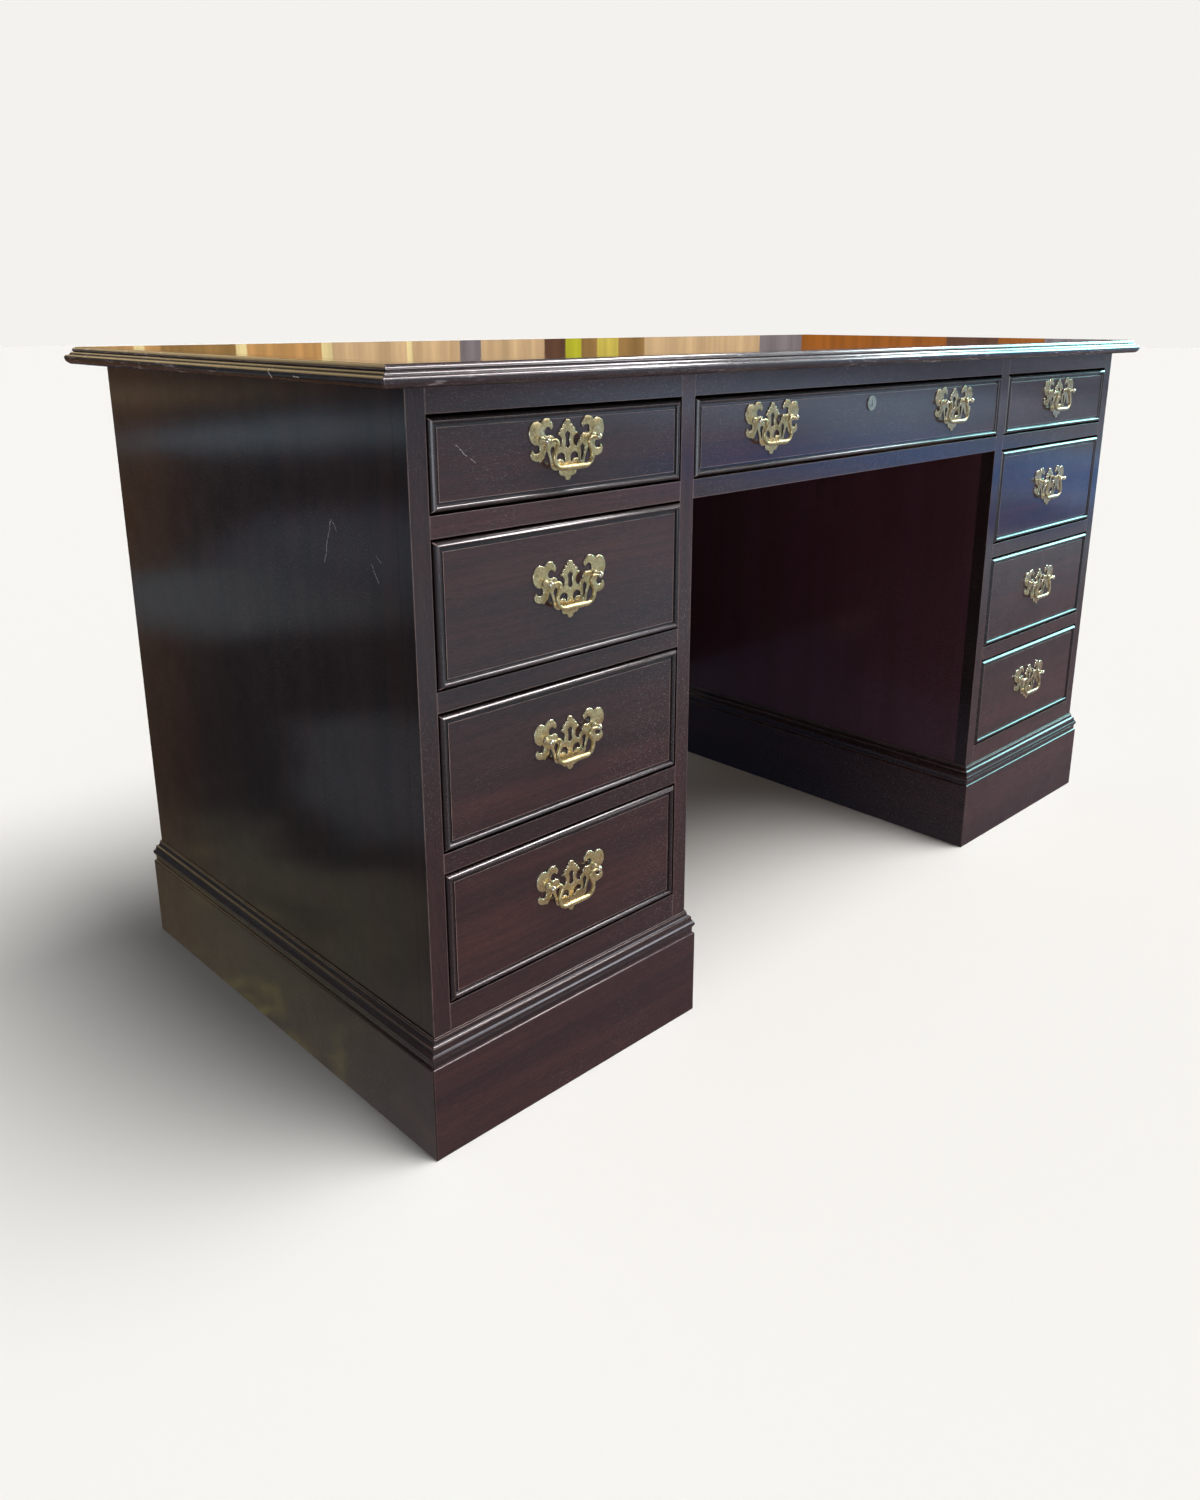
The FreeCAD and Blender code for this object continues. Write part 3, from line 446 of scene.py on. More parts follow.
def scratched(t, colour, place, scratches):
    """Add pale, broken, slightly crooked scratches that lie in a level or upright face."""
    for start, end, width in scratches:
        crooked = t.warped(place, 110, 2, (5 * MM, 5 * MM, 5 * MM))
        in_face = Vector([float(a != b) for a, b in zip(start, end)])
        crooked = t.vector_math("MULTIPLY", crooked, in_face).outputs[0]
        broken = t.remap(t.noise(place, 900, detail=1), 0.35, 0.5)
        line = t.scratch(crooked, Vector(start) * in_face, Vector(end) * in_face, width)
        colour = t.mix(t.math("MULTIPLY", line, broken), colour, SCRATCH)
    return colour


def mahogany(name, grain, seed, gloss=0.10, wear=1.0, glaze=0.0, worn_front=False,
             scuffed=0.0, side_tone=SIDE_BROWN, scratches=()):
    """Dark stained mahogany under lacquer: grain, pores, and worn edges partly painted as highlight.

    glaze darkens the whole node, or only the rim of a drawer's front, as painted shade. Faces
    towards +X and -X are darkened with side_tone, as painted shade. With worn_front only the
    edges towards the sitter are worn, with a partly painted highlight. scuffed adds rubbed
    marks, but not on the desk's level top.
    """
    t = Tree(name)
    place, along, off_seam, in_rim = grain_place(t, grain, seed)
    colour, fibre, pores = stained(t, along, side_tone)
    # Painted shade: the rim of a drawer's front, or the whole node, is darker
    if glaze:
        colour = t.mix(t.math("MULTIPLY", in_rim, glaze), colour, GLAZE_BROWN)
    open_air = t.openness(5 * MM)
    patches = t.remap(t.noise(place, 31, detail=4, roughness=0.7), 0.32, 0.56, 0.45, 1.0)
    # Worn edges, partly painted highlight: lighter along sharp edges, but not in gaps or on mitres
    edge = t.remap(t.sharpness(1.4 * MM), 0.11, 0.29)
    edge = t.product(edge, t.remap(open_air, 0.45, 0.75), off_seam)
    if worn_front:
        at_front = t.remap(t.axes(place)[1], FRONT_FACE + 3 * MM, FRONT_FACE + 1 * MM)
        edge = t.math("MULTIPLY", edge, at_front)
    if scuffed:
        below_top = t.remap(t.axes(place)[2], TOP_FACE - 0.2 * MM, TOP_FACE - 0.8 * MM)
        edge = t.math("MULTIPLY", edge, below_top)
    colour = t.mix(t.product(edge, patches, wear), colour, WORN_WOOD)
    if scuffed:
        rubbed = t.remap(t.noise(along, (45, 420, 420), detail=4, roughness=0.75), 0.55, 0.66)
        spots = t.remap(t.noise(place, 4.5, detail=2), 0.47, 0.60, 0.10, 1.0)
        colour = t.mix(t.product(rubbed, below_top, spots, scuffed), colour, SCUFF)
    colour = scratched(t, colour, place, scratches)
    # Pale specks in hazy patches: dust, and partly painted glints of the lacquer
    specks = t.remap(t.noise(along, (500, 1500, 1500), detail=1), 0.62, 0.72)
    hazy = t.remap(t.noise(place, 5, detail=2), 0.40, 0.62, 0.08, 0.55)
    colour = t.mix(t.math("MULTIPLY", specks, hazy), colour, DUST)
    # Painted shade: darker in gaps, in corners and beside the pulls
    colour = t.mix(t.remap(open_air, 0.05, 0.75, 0.92, 0.0), colour, GAP_DARK)
    rough = t.remap(t.noise(place, 21, detail=3, roughness=0.6), 0.3, 0.7, 0.40, 0.52)
    ripple = t.bump(t.noise(place, 9, detail=1), 0.9 * MM, strength=0.3)
    peel = t.bump(t.noise(place, 700, detail=2), 0.05 * MM, normal=ripple, strength=0.5)
    skin = t.bump(t.math("ADD", fibre, pores), 0.03 * MM, normal=peel, strength=0.5)
    return t.surface({"Base Color": colour, "Roughness": rough, "Normal": skin,
                      "Specular IOR Level": 0.25, "Coat Weight": 1.0,
                      "Coat Roughness": gloss, "Coat IOR": 1.5, "Coat Normal": peel})


def plain_wood(name, grain, seed):
    """Bare planed secondary wood of drawer boxes, runners and blocks."""
    t = Tree(name)
    place, along, _, _ = grain_place(t, grain, seed)
    figure = t.noise(along, (1.8, 60, 60), detail=4, roughness=0.6, distortion=0.5)
    fibre = t.noise(along, (9, 520, 520), detail=3, roughness=0.6)
    blotch = t.noise(place, 14, detail=3)
    colour = t.mix(t.remap(figure, 0.3, 0.7), BARE_WOOD, PALE_WOOD)
    colour = t.mix(t.remap(fibre, 0.35, 0.75, 0.0, 0.5), colour, FIBRE_BROWN)
    colour = t.mix(t.remap(blotch, 0.5, 0.8, 0.0, 0.4), colour, BLOTCH_BROWN)
    # Painted shade: darker in corners
    colour = t.mix(t.remap(t.openness(8 * MM), 0.2, 0.8, 0.5, 0.0), colour, CORNER_BROWN)
    rough = t.remap(fibre, 0.3, 0.7, 0.55, 0.72)
    skin = t.bump(fibre, 0.08 * MM, strength=0.6)
    return t.surface({"Base Color": colour, "Roughness": rough, "Normal": skin})


def antique_brass(name, facing):
    """Satin antique brass: worn edges, partly painted highlight; grime, partly painted shade, in
    corners.

    Where facing is given, slopes that lean away from it are bright too, as painted highlight.
    The custom properties seed and pale of each object shift its clouds and make it paler, as
    painted cool light.
    """
    t = Tree(name)
    place = t.add("TexCoord").outputs["Object"]
    seed = t.add("Attribute", attribute_type="OBJECT", attribute_name="seed").outputs["Fac"]
    shift = t.add("CombineXYZ", {0: seed, 1: seed, 2: seed}).outputs[0]
    spot = t.vector_math("ADD", place, shift).outputs[0]
    cloud = t.noise(spot, 85, detail=4, roughness=0.65)
    fine = t.noise(spot, 900, detail=3, roughness=0.6)
    mottle = t.noise(spot, 430, detail=4, roughness=0.7)
    pale = t.add("Attribute", attribute_type="OBJECT", attribute_name="pale").outputs["Fac"]
    colour = t.mix(t.remap(cloud, 0.3, 0.7), BRASS_DEEP, BRASS_LIGHT)
    # Painted cool light: paler towards the right of the desk
    colour = t.mix(t.math("MULTIPLY", pale, 0.6), colour, BRASS_WORN)
    colour = t.mix(t.remap(mottle, 0.50, 0.66, 0.0, 0.6), colour, BRASS_SPOTS)
    colour = t.mix(t.remap(fine, 0.5, 0.75, 0.0, 0.3), colour, BRASS_SPECKS)
    rough = t.remap(cloud, 0.3, 0.7, 0.34, 0.24)
    # Edges and rims: polished by wear, and partly painted highlight
    bright = t.remap(t.sharpness(0.5 * MM), 0.2, 0.5)
    if facing:
        normal = t.add("NewGeometry").outputs["True Normal"]
        lean = t.vector_math("DOT_PRODUCT", normal, facing).outputs["Value"]
        bright = t.math("MAXIMUM", bright, t.remap(lean, 0.98, 0.80))
    colour = t.mix(bright, colour, BRASS_BRIGHT)
    rough = t.math("SUBTRACT", rough, t.math("MULTIPLY", bright, 0.12))
    # Darker in corners: grime, and partly painted shade round the posts and under the bail
    grime = t.remap(t.openness(5.5 * MM), 0.38, 0.88, 0.98, 0.0)
    colour = t.mix(grime, colour, BRASS_GRIME)
    rough = t.math("ADD", rough, t.math("MULTIPLY", grime, 0.25))
    skin = t.bump(fine, 0.02 * MM, strength=0.6)
    return t.surface({"Base Color": colour, "Roughness": rough, "Normal": skin,
                      "Metallic": BRASS_METALLIC})


def nickel(name):
    """Polished nickel with a slight haze and a fine grain."""
    t = Tree(name)
    place = t.add("TexCoord").outputs["Object"]
    haze = t.noise(place, 260, detail=3, roughness=0.6)
    colour = t.mix(t.remap(haze, 0.3, 0.7), NICKEL_DULL, NICKEL_CLEAR)
    # Painted shade: darker in recesses and gaps
    colour = t.mix(t.remap(t.openness(3 * MM), 0.2, 0.7, 0.8, 0.0), colour, NICKEL_GRIME)
    rough = t.remap(haze, 0.3, 0.7, 0.30, 0.42)
    skin = t.bump(t.noise(place, 2400, detail=1), 0.01 * MM, strength=0.4)
    return t.surface({"Base Color": colour, "Roughness": rough, "Normal": skin,
                      "Metallic": 1.0})


def steel(name):
    """Plain zinc-plated steel of the hidden screws."""
    t = Tree(name)
    place = t.add("TexCoord").outputs["Object"]
    haze = t.noise(place, 700, detail=3)
    colour = t.mix(haze, ZINC_DULL, ZINC_CLEAR)
    rough = t.remap(haze, 0.3, 0.7, 0.30, 0.48)
    skin = t.bump(haze, 0.02 * MM, strength=0.5)
    return t.surface({"Base Color": colour, "Roughness": rough, "Normal": skin,
                      "Metallic": 1.0})


# ---------------------------------------- CAD nodes
# Faces that differ by less are one, and edges that turn by more are eased
FLAT_ANGLE = math.radians(0.5)
SHARP_ANGLE = math.radians(28)


def dress(node, material, arris):
    """Give a CAD node its material and ease its sharp edges by arris millimetres."""
    piece = frame["nodes"][node]
    piece.data.materials.clear()
    piece.data.materials.append(material)
    if arris:
        weld = piece.modifiers.new("weld", "WELD")
        weld.merge_threshold = 0.01 * MM
        flatten = piece.modifiers.new("flatten", "DECIMATE")
        flatten.decimate_type = "DISSOLVE"
        flatten.angle_limit = FLAT_ANGLE
        ease = piece.modifiers.new("ease", "BEVEL")
        ease.width = arris * MM
        ease.segments = 2
        ease.limit_method = "ANGLE"
        ease.angle_limit = SHARP_ANGLE
        ease.miter_outer = "MITER_ARC"
        shade = piece.modifiers.new("smooth", "WEIGHTED_NORMAL")
        shade.weight = 100


def middle_and_half(node, first, second):
    """Middle and half size of a node's box on two axes."""
    low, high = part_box(node)
    axes = ["XYZ".index(first), "XYZ".index(second)]
    middle = [(low[i] + high[i]) / 2 for i in axes]
    half = [(high[i] - low[i]) / 2 for i in axes]
    return middle, half


def ring_grain(node, first, second, width=0.0):
    """Grain that runs round a node's box, along mitred lengths or in a rim of that width."""
    middle, half = middle_and_half(node, first, second)
    return (first, second, middle, half, width)


def dress_mahogany(node, name, grain, seed, arris, **looks):
    dress(node, mahogany(name, grain, seed, **looks), arris)


# Width of the bead and quirk round a drawer's front (millimetres)
BEAD_AND_QUIRK = 9.0
# Scratches and chips: both ends, and width
END_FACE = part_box("left_end_panel")[0][0]
TOP_EDGE_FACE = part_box("top_edge_moulding")[0][0]
END_SCRATCHES = [((END_FACE, -0.1747, 0.6139), (END_FACE, -0.1590, 0.5710), 0.5 * MM),
                 ((END_FACE, -0.1747, 0.6139), (END_FACE, -0.1835, 0.6040), 0.35 * MM),
                 ((END_FACE, -0.2385, 0.5816), (END_FACE, -0.2477, 0.5651), 0.35 * MM),
                 ((END_FACE, -0.2470, 0.5900), (END_FACE, -0.2540, 0.5840), 0.3 * MM)]
EDGE_CHIPS = [((TOP_EDGE_FACE, -0.1490, 0.7480), (TOP_EDGE_FACE, -0.1530, 0.7400), 1.0 * MM),
              ((TOP_EDGE_FACE, -0.1920, 0.7420), (TOP_EDGE_FACE, -0.2010, 0.7410), 0.9 * MM)]
FRONT_SCRATCHES = [((-0.6240, FRONT_FACE, 0.6870), (-0.6130, FRONT_FACE, 0.6760), 0.35 * MM),
                   ((-0.6090, FRONT_FACE, 0.6745), (-0.6040, FRONT_FACE, 0.6700), 0.3 * MM)]
dress_mahogany("top_panel", "top", "X", 1, 0, gloss=0.045, wear=0.0)
dress_mahogany("top_edge_moulding", "top_edge", ring_grain("top_edge_moulding", "X", "Y"), 2, 0.35,
               glaze=0.45, scuffed=0.9, scratches=EDGE_CHIPS)
dress_mahogany("front_stiles", "stiles", "Z", 3, 0.25, wear=0.3, worn_front=True)
dress_mahogany("centre_drawer_rails", "centre_rails", "X", 4, 0.2, wear=0.3)
dress_mahogany("modesty_panel", "modesty", "X", 5, 0.5)
dress_mahogany("pedestal_backs", "backs", "Z", 6, 0.5)
for seed, side in enumerate(("left", "right")):
    marks = END_SCRATCHES if side == "left" else ()
    dress_mahogany(side + "_end_panel", side + "_end", "Z", 3, 0, wear=0.0, scratches=marks)
    dress_mahogany(side + "_inner_side", side + "_inner", "Z", 9 + seed, 0,
                   wear=0.0, side_tone=INNER_BROWN)
    dress_mahogany(side + "_drawer_rails", side + "_rails", "X", 11 + seed, 0.2, wear=0.3)
    plinth, moulding = side + "_plinth", side + "_base_moulding"
    dress_mahogany(plinth, plinth, ring_grain(plinth, "X", "Y"), 13 + seed, 0.6, wear=0.3)
    dress_mahogany(moulding, side + "_moulding", ring_grain(moulding, "X", "Y"), 15 + seed, 0.3,
                   wear=0.35, glaze=0.5)

box_wood = plain_wood("box_wood", "Y", 30)
block_wood = plain_wood("block_wood", "Z", 31)
for node in ("drawer_runners", "drawer_stops"):
    dress(node, box_wood, 0)
for node in ("pedestal_bottoms", "plinth_corner_blocks"):
    dress(node, block_wood, 0)
dress("top_screws", steel("steel"), 0)

drawers = [b for b in frame["bodies"] if "drawer" in b and "bail" not in b]
for seed, drawer in enumerate(drawers):
    front = drawer + "_front"
    marks = FRONT_SCRATCHES if drawer == "left_drawer_1" else ()
    dress_mahogany(front, front, ring_grain(front, "X", "Z", BEAD_AND_QUIRK * MM), 20 + seed, 0.35,
                   glaze=0.65, scratches=marks)
    dress(drawer + "_box", box_wood, 0.5)


# ---------------------------------------- mesh helpers
def arc_through(a, b, c, spacing):
    """Points of the arc from a through b to c, without a."""
    ax, ay, bx, by, cx, cy = *a, *b, *c
    turn = 2 * (ax * (by - cy) + bx * (cy - ay) + cx * (ay - by))
    ux = ((ax * ax + ay * ay) * (by - cy) + (bx * bx + by * by) * (cy - ay)
          + (cx * cx + cy * cy) * (ay - by)) / turn
    uy = ((ax * ax + ay * ay) * (cx - bx) + (bx * bx + by * by) * (ax - cx)
          + (cx * cx + cy * cy) * (bx - ax)) / turn
    radius = math.dist((ux, uy), a)
    start = math.atan2(ay - uy, ax - ux)
    end = math.atan2(cy - uy, cx - ux)
    sweep = (end - start) % math.tau
    if turn < 0:
        sweep -= math.tau
    count = max(2, round(abs(sweep) * radius / spacing))
    return [(ux + radius * math.cos(start + sweep * i / count),
             uy + radius * math.sin(start + sweep * i / count)) for i in range(1, count + 1)]


def drawn(start, steps, spacing):
    """Points of a drawn path, start included."""
    points = [start]
    for step in steps:
        here = points[-1]
        if len(step) == 1:
            count = max(1, round(math.dist(here, step[0]) / spacing))
            points += [tuple(here[k] + (step[0][k] - here[k]) * i / count for k in (0, 1))
                       for i in range(1, count + 1)]
        else:
            points += arc_through(here, step[0], step[1], spacing)
    return points


def mirrored(points):
    """The same points on the other side of x = 0, in the opposite order."""
    return [(-x, z) for x, z in reversed(points)]


def closed_outline(start, steps):
    """Both halves of a symmetric outline, each point once."""
    half = drawn(start, steps, PLATE_SPACING)
    return half + mirrored(half)[1:-1]


def new_mesh(name, verts, faces):
    mesh = bpy.data.meshes.new(name)
    mesh.from_pydata([tuple(c * MM for c in v) for v in verts], [], faces)
    mesh.validate()
    return mesh


def turned(profile, segments=32):
    """Vertices and faces of a profile (radius, height) turned round the z axis.

    The profile starts and ends on the axis.
    """
    verts = [(0, 0, profile[0][1])]
    rings = []
    for radius, height in profile[1:-1]:
        rings.append(len(verts))
        for k in range(segments):
            angle = math.tau * k / segments
            verts.append((radius * math.cos(angle), radius * math.sin(angle), height))
    verts.append((0, 0, profile[-1][1]))
    faces = []
    for k in range(segments):
        after = (k + 1) % segments
        faces.append((0, rings[0] + after, rings[0] + k))
        for low, high in zip(rings, rings[1:]):
            faces.append((low + k, low + after, high + after, high + k))
        faces.append((rings[-1] + k, rings[-1] + after, len(verts) - 1))
    return verts, faces


def object_from(name, mesh):
    piece = bpy.data.objects.new(name, mesh)
    bpy.context.scene.collection.objects.link(piece)
    return piece


def evaluated_mesh(piece):
    """Mesh of an object with its modifiers, or of a curve."""
    depsgraph = bpy.context.evaluated_depsgraph_get()
    return bpy.data.meshes.new_from_object(piece.evaluated_get(depsgraph))


def welded(mesh):
    """Merge corners that meet and turn all faces outwards."""
    tidy = bmesh.new()
    tidy.from_mesh(mesh)
    bmesh.ops.remove_doubles(tidy, verts=tidy.verts, dist=0.005 * MM)
    bmesh.ops.recalc_face_normals(tidy, faces=tidy.faces)
    tidy.to_mesh(mesh)
    tidy.free()
    return mesh


def join_meshes(name, meshes):
    """One mesh from several."""
    joined = bmesh.new()
    for mesh in meshes:
        joined.from_mesh(mesh)
    result = bpy.data.meshes.new(name)
    joined.to_mesh(result)
    joined.free()
    return result


def smooth(mesh, degrees):
    """Shade a mesh smooth but for edges sharper than degrees."""
    mesh.shade_smooth()
    mesh.set_sharp_from_angle(angle=math.radians(degrees))
    return mesh


# ---------------------------------------- pulls
def standing(mesh):
    """Turn a mesh drawn flat, +Z towards the viewer, to face -Y."""
    mesh.transform(Matrix.Rotation(math.radians(90), 4, "X"))
    return mesh


def rim_points(outlines, depth):
    """Points at one depth inside the metal, beside every corner of the outlines."""
    corners = [corner for outline in outlines for corner in outline]
    near = KDTree(len(corners))
    for index, (x, z) in enumerate(corners):
        near.insert((x, z, 0), index)
    near.balance()
    points = []
    for outline in outlines:
        area = sum(a[0] * b[1] - b[0] * a[1] for a, b in zip(outline, outline[1:] + outline[:1]))
        inwards = 1 if (area > 0) == (outline is outlines[0]) else -1
        for before, here, after in zip(outline[-1:] + outline, outline, outline[1:] + outline[:1]):
            run = math.dist(before, after)
            x = here[0] - inwards * depth * (after[1] - before[1]) / run
            z = here[1] + inwards * depth * (after[0] - before[0]) / run
            # A point that lies nearer to another corner would fold the rim over
            if near.find((x, z, 0))[2] > 0.97 * depth:
                points.append((x, z))
    return points


def inside(point, outlines):
    """True where a level line from the point crosses the outlines an odd number of times."""
    x, z = point
    crossings = 0
    for outline in outlines:
        for (x0, z0), (x1, z1) in zip(outline, outline[1:] + outline[:1]):
            if (z0 > z) != (z1 > z) and x < x0 + (z - z0) * (x1 - x0) / (z1 - z0):
                crossings += 1
    return crossings % 2 == 1


def filled(outlines, rims):
    """Triangles that fill the metal between the outlines, and their corners' depths."""
    points, depths, edges = [], [], []
    for outline in outlines:
        first = len(points)
        count = len(outline)
        points += outline
        depths += [0.0] * count
        edges += [(first + k, first + (k + 1) % count) for k in range(count)]
    for depth in rims:
        ring = rim_points(outlines, depth)
        points += ring
        depths += [depth] * len(ring)
    found = delaunay_2d_cdt([Vector(p) for p in points], edges, [], 0, 1e-6)
    corners = [tuple(v) for v in found[0]]
    depth_of = [depths[origin[0]] for origin in found[3]]
    faces = []
    for face in found[2]:
        middle = [sum(corners[k][i] for k in face) / 3 for i in (0, 1)]
        if inside(middle, outlines):
            faces.append(tuple(face))
    return corners, depth_of, faces


def plate_mesh():
    """Pierced plate with rounded rims, back face on z = 0."""
    outlines = [closed_outline(PLATE_START, PLATE_STEPS),
                closed_outline(KEYHOLE_START, KEYHOLE_STEPS)]
    for start, steps in ((ARCH_START, ARCH_STEPS), (SLOT_START, SLOT_STEPS)):
        hole = drawn(start, steps + [(start,)], PLATE_SPACING)[:-1]
        outlines += [hole, mirrored(hole)]
    shoulder = PLATE_THICKNESS - PLATE_RIM
    corners, depths, faces = filled(outlines, (0.3 * PLATE_RIM, PLATE_RIM))
    verts = []
    for (x, z), depth in zip(corners, depths):
        verts.append((x, z, shoulder + math.sqrt(PLATE_RIM ** 2 - (PLATE_RIM - depth) ** 2)))
    back_corners, _, back_faces = filled(outlines, ())
    first = len(verts)
    verts += [(x, z, 0) for x, z in back_corners]
    faces += [tuple(first + k for k in reversed(face)) for face in back_faces]
    for outline in outlines:
        count = len(outline)
        wall = len(verts)
        verts += [(x, z, 0) for x, z in outline] + [(x, z, shoulder) for x, z in outline]
        faces += [(wall + k, wall + (k + 1) % count, wall + count + (k + 1) % count, wall + count + k)
                  for k in range(count)]
    return smooth(welded(new_mesh("plate", verts, faces)), 50)


def ball_profile():
    """Half section of the ball head round the pin's axis, from its bore outwards."""
    bore_end = BALL_RADIUS - PIN_DEPTH - END_PLAY
    rim = math.asin(PIN_HOLE_RADIUS / BALL_RADIUS)
    points = [(0, bore_end), (PIN_HOLE_RADIUS, bore_end)]
    steps = 22
    for i in range(steps + 1):
        angle = rim + (math.pi - rim) * i / steps
        points.append((BALL_RADIUS * math.sin(angle), BALL_RADIUS * math.cos(angle)))
    points[-1] = (0, -BALL_RADIUS)
    return points


def post_mesh(sign):
    """Post: shank, collar with a rounded rim, waisted neck and drilled ball head."""
    base = PLATE_THICKNESS
    back = -FRONT_THICKNESS - SHANK_PAST_FRONT
    profile = [(0, back), (SHANK_RADIUS - 0.4, back), (SHANK_RADIUS, back + 0.4), (SHANK_RADIUS, base),
               (3.3, base), (3.6, base + 0.3), (3.6, base + 0.9), (3.3, base + 1.4),
               (2.7, base + 1.6), (2.25, base + 1.8), (2.0, base + 2.4), (1.9, base + 3.4),
               (2.0, base + 4.6), (2.2, base + 5.4), (0, base + 7.2)]
    stem = new_mesh("stem", *turned(profile))
    ball = new_mesh("ball", *turned(ball_profile()))
    ball.transform(Matrix.Rotation(math.radians(-90 * sign), 4, "Y"))
    ball.transform(Matrix.Translation((0, 0, BAIL_STANDOFF * MM)))
    pieces = [object_from("stem", stem), object_from("ball", ball)]
    union = pieces[0].modifiers.new("union", "BOOLEAN")
    union.operation = "UNION"
    union.solver = "EXACT"
    union.object = pieces[1]
    mesh = evaluated_mesh(pieces[0])
    for piece in pieces:
        bpy.data.objects.remove(piece)
    mesh.transform(Matrix.Translation((sign * POST_SPACING / 2 * MM, 0, 0)))
    return smooth(mesh, 40)


def nut_mesh(sign):
    """Hexagon nut with chamfered corners, behind the drawer's front."""
    corner = NUT_ACROSS / math.sqrt(3)
    low, high = -FRONT_THICKNESS - NUT_THICKNESS, -FRONT_THICKNESS
    levels = [(0.90, low), (1.0, low + 0.45), (1.0, high - 0.1), (0.97, high)]
    verts, faces = [], []
    for share, z in levels:
        for k in range(6):
            angle = math.tau * k / 6
            verts.append((share * corner * math.cos(angle), share * corner * math.sin(angle), z))
    for z in (high, low):
        for k in range(6):
            angle = math.tau * k / 6
            verts.append((NUT_BORE_RADIUS * math.cos(angle), NUT_BORE_RADIUS * math.sin(angle), z))
    rings = len(levels) + 2
    for ring in range(rings):
        after = (ring + 1) % rings
        for k in range(6):
            n = (k + 1) % 6
            faces.append((6 * ring + k, 6 * ring + n, 6 * after + n, 6 * after + k))
    mesh = new_mesh("nut", verts, faces)
    mesh.transform(Matrix.Translation((sign * POST_SPACING / 2 * MM, 0, 0)))
    return smooth(mesh, 30)


def on_circle(centre, radius, angle):
    return (centre[0] + radius * math.cos(angle), centre[1] + radius * math.sin(angle))


def bail_half_line():
    """Right half of the bail's centre line, from the pin's inner end to the grip's middle."""
    shoulder = POST_SPACING / 2 - BALL_RADIUS - END_PLAY
    neck = (POST_SPACING / 2 - BAIL_NECK_INSET, BAIL_NECK_RISE - BAIL_NECK_RADIUS)
    corner = (POST_SPACING / 2 - BAIL_CORNER_INSET, BAIL_CORNER_RADIUS - BAIL_DROP)
    run = shoulder - neck[0]
    sweep_radius = (run ** 2 + BAIL_NECK_RISE ** 2) / (2 * BAIL_NECK_RISE) - BAIL_NECK_RADIUS
    sweep = (shoulder, sweep_radius)
    sweep_turn = math.asin(run / (sweep_radius + BAIL_NECK_RADIUS))
    tilt = math.atan2(corner[0] - neck[0], neck[1] - corner[1]) + math.asin(
        (BAIL_NECK_RADIUS + BAIL_CORNER_RADIUS) / math.dist(neck, corner))
    neck_start = math.pi / 2 - sweep_turn
    neck_end = math.pi + tilt
    steps = [
        ((shoulder, 0),),
        (on_circle(sweep, sweep_radius, -(math.pi + sweep_turn) / 2),
         on_circle(neck, BAIL_NECK_RADIUS, neck_start)),
        (on_circle(neck, BAIL_NECK_RADIUS, (neck_start + neck_end) / 2),
         on_circle(neck, BAIL_NECK_RADIUS, neck_end)),
        (on_circle(corner, BAIL_CORNER_RADIUS, tilt),),
        (on_circle(corner, BAIL_CORNER_RADIUS, tilt / 2 - math.pi / 4),
         (corner[0], -BAIL_DROP)),
        ((0, -BAIL_DROP),),
    ]
    return drawn((shoulder + PIN_DEPTH, 0), steps, 0.7)


def bail_radius(distance, total):
    """Radius along the half line: pin, shoulder, slim neck, leg and fuller grip."""
    pin_end = PIN_DEPTH
    stations = [(0, PIN_RADIUS * 0.8), (0.4, PIN_RADIUS), (pin_end - 0.3, PIN_RADIUS),
                (pin_end + 0.2, 1.7), (pin_end + 1.0, 1.75), (pin_end + 2.4, 1.3),
                (pin_end + 6, 1.55), (pin_end + 13, 2.1), (pin_end + 22, 2.0),
                (pin_end + 34, 2.1), (pin_end + 42, 2.7), (total, 3.0)]
    for (s0, r0), (s1, r1) in zip(stations, stations[1:]):
        if distance <= s1:
            share = (distance - s0) / (s1 - s0)
            share = share * share * (3 - 2 * share)
            return r0 + (r1 - r0) * share
    return stations[-1][1]


def bail_mesh(segments=28):
    """Swan-neck bail hanging from the x axis, drawn in the plane z = 0."""
    half = bail_half_line()
    lengths = [0.0]
    for a, b in zip(half, half[1:]):
        lengths.append(lengths[-1] + math.dist(a, b))
    radii = [bail_radius(s, lengths[-1]) for s in lengths]
    line = half + mirrored(half)[1:]
    radii += radii[-2::-1]
    verts, faces = [], []
    for i, (x, y) in enumerate(line):
        before = line[max(i - 1, 0)]
        after = line[min(i + 1, len(line) - 1)]
        run = math.dist(before, after)
        side = ((after[1] - before[1]) / run, (before[0] - after[0]) / run)
        for k in range(segments):
            angle = math.tau * k / segments
            reach = radii[i] * math.cos(angle)
            verts.append((x + side[0] * reach, y + side[1] * reach,
                          radii[i] * math.sin(angle)))
    for i in range(len(line) - 1):
        for k in range(segments):
            n = (k + 1) % segments
            a, b = i * segments, (i + 1) * segments
            faces.append((a + k, a + n, b + n, b + k))
    faces.append(tuple(range(segments))[::-1])
    last = (len(line) - 1) * segments
    faces.append(tuple(last + k for k in range(segments)))
    return smooth(welded(new_mesh("bail", verts, faces)), 60)


fixture = standing(join_meshes("pull", [plate_mesh()] + [part(sign) for sign in (-1, 1)
                                                         for part in (post_mesh, nut_mesh)]))
bail_shape = standing(bail_mesh())
plate_brass = antique_brass("plate_brass", (0, -1, 0))
bail_brass = antique_brass("bail_brass", None)
fixture.materials.append(plate_brass)
bail_shape.materials.append(bail_brass)


def pale_from_left(x):
    """0 for the pulls at the left, which get the least painted cool light, to 1 at the right."""
    share = (x - LEAST_WORN_X) / (MOST_WORN_X - LEAST_WORN_X)
    return min(max(share, 0.0), 1.0)


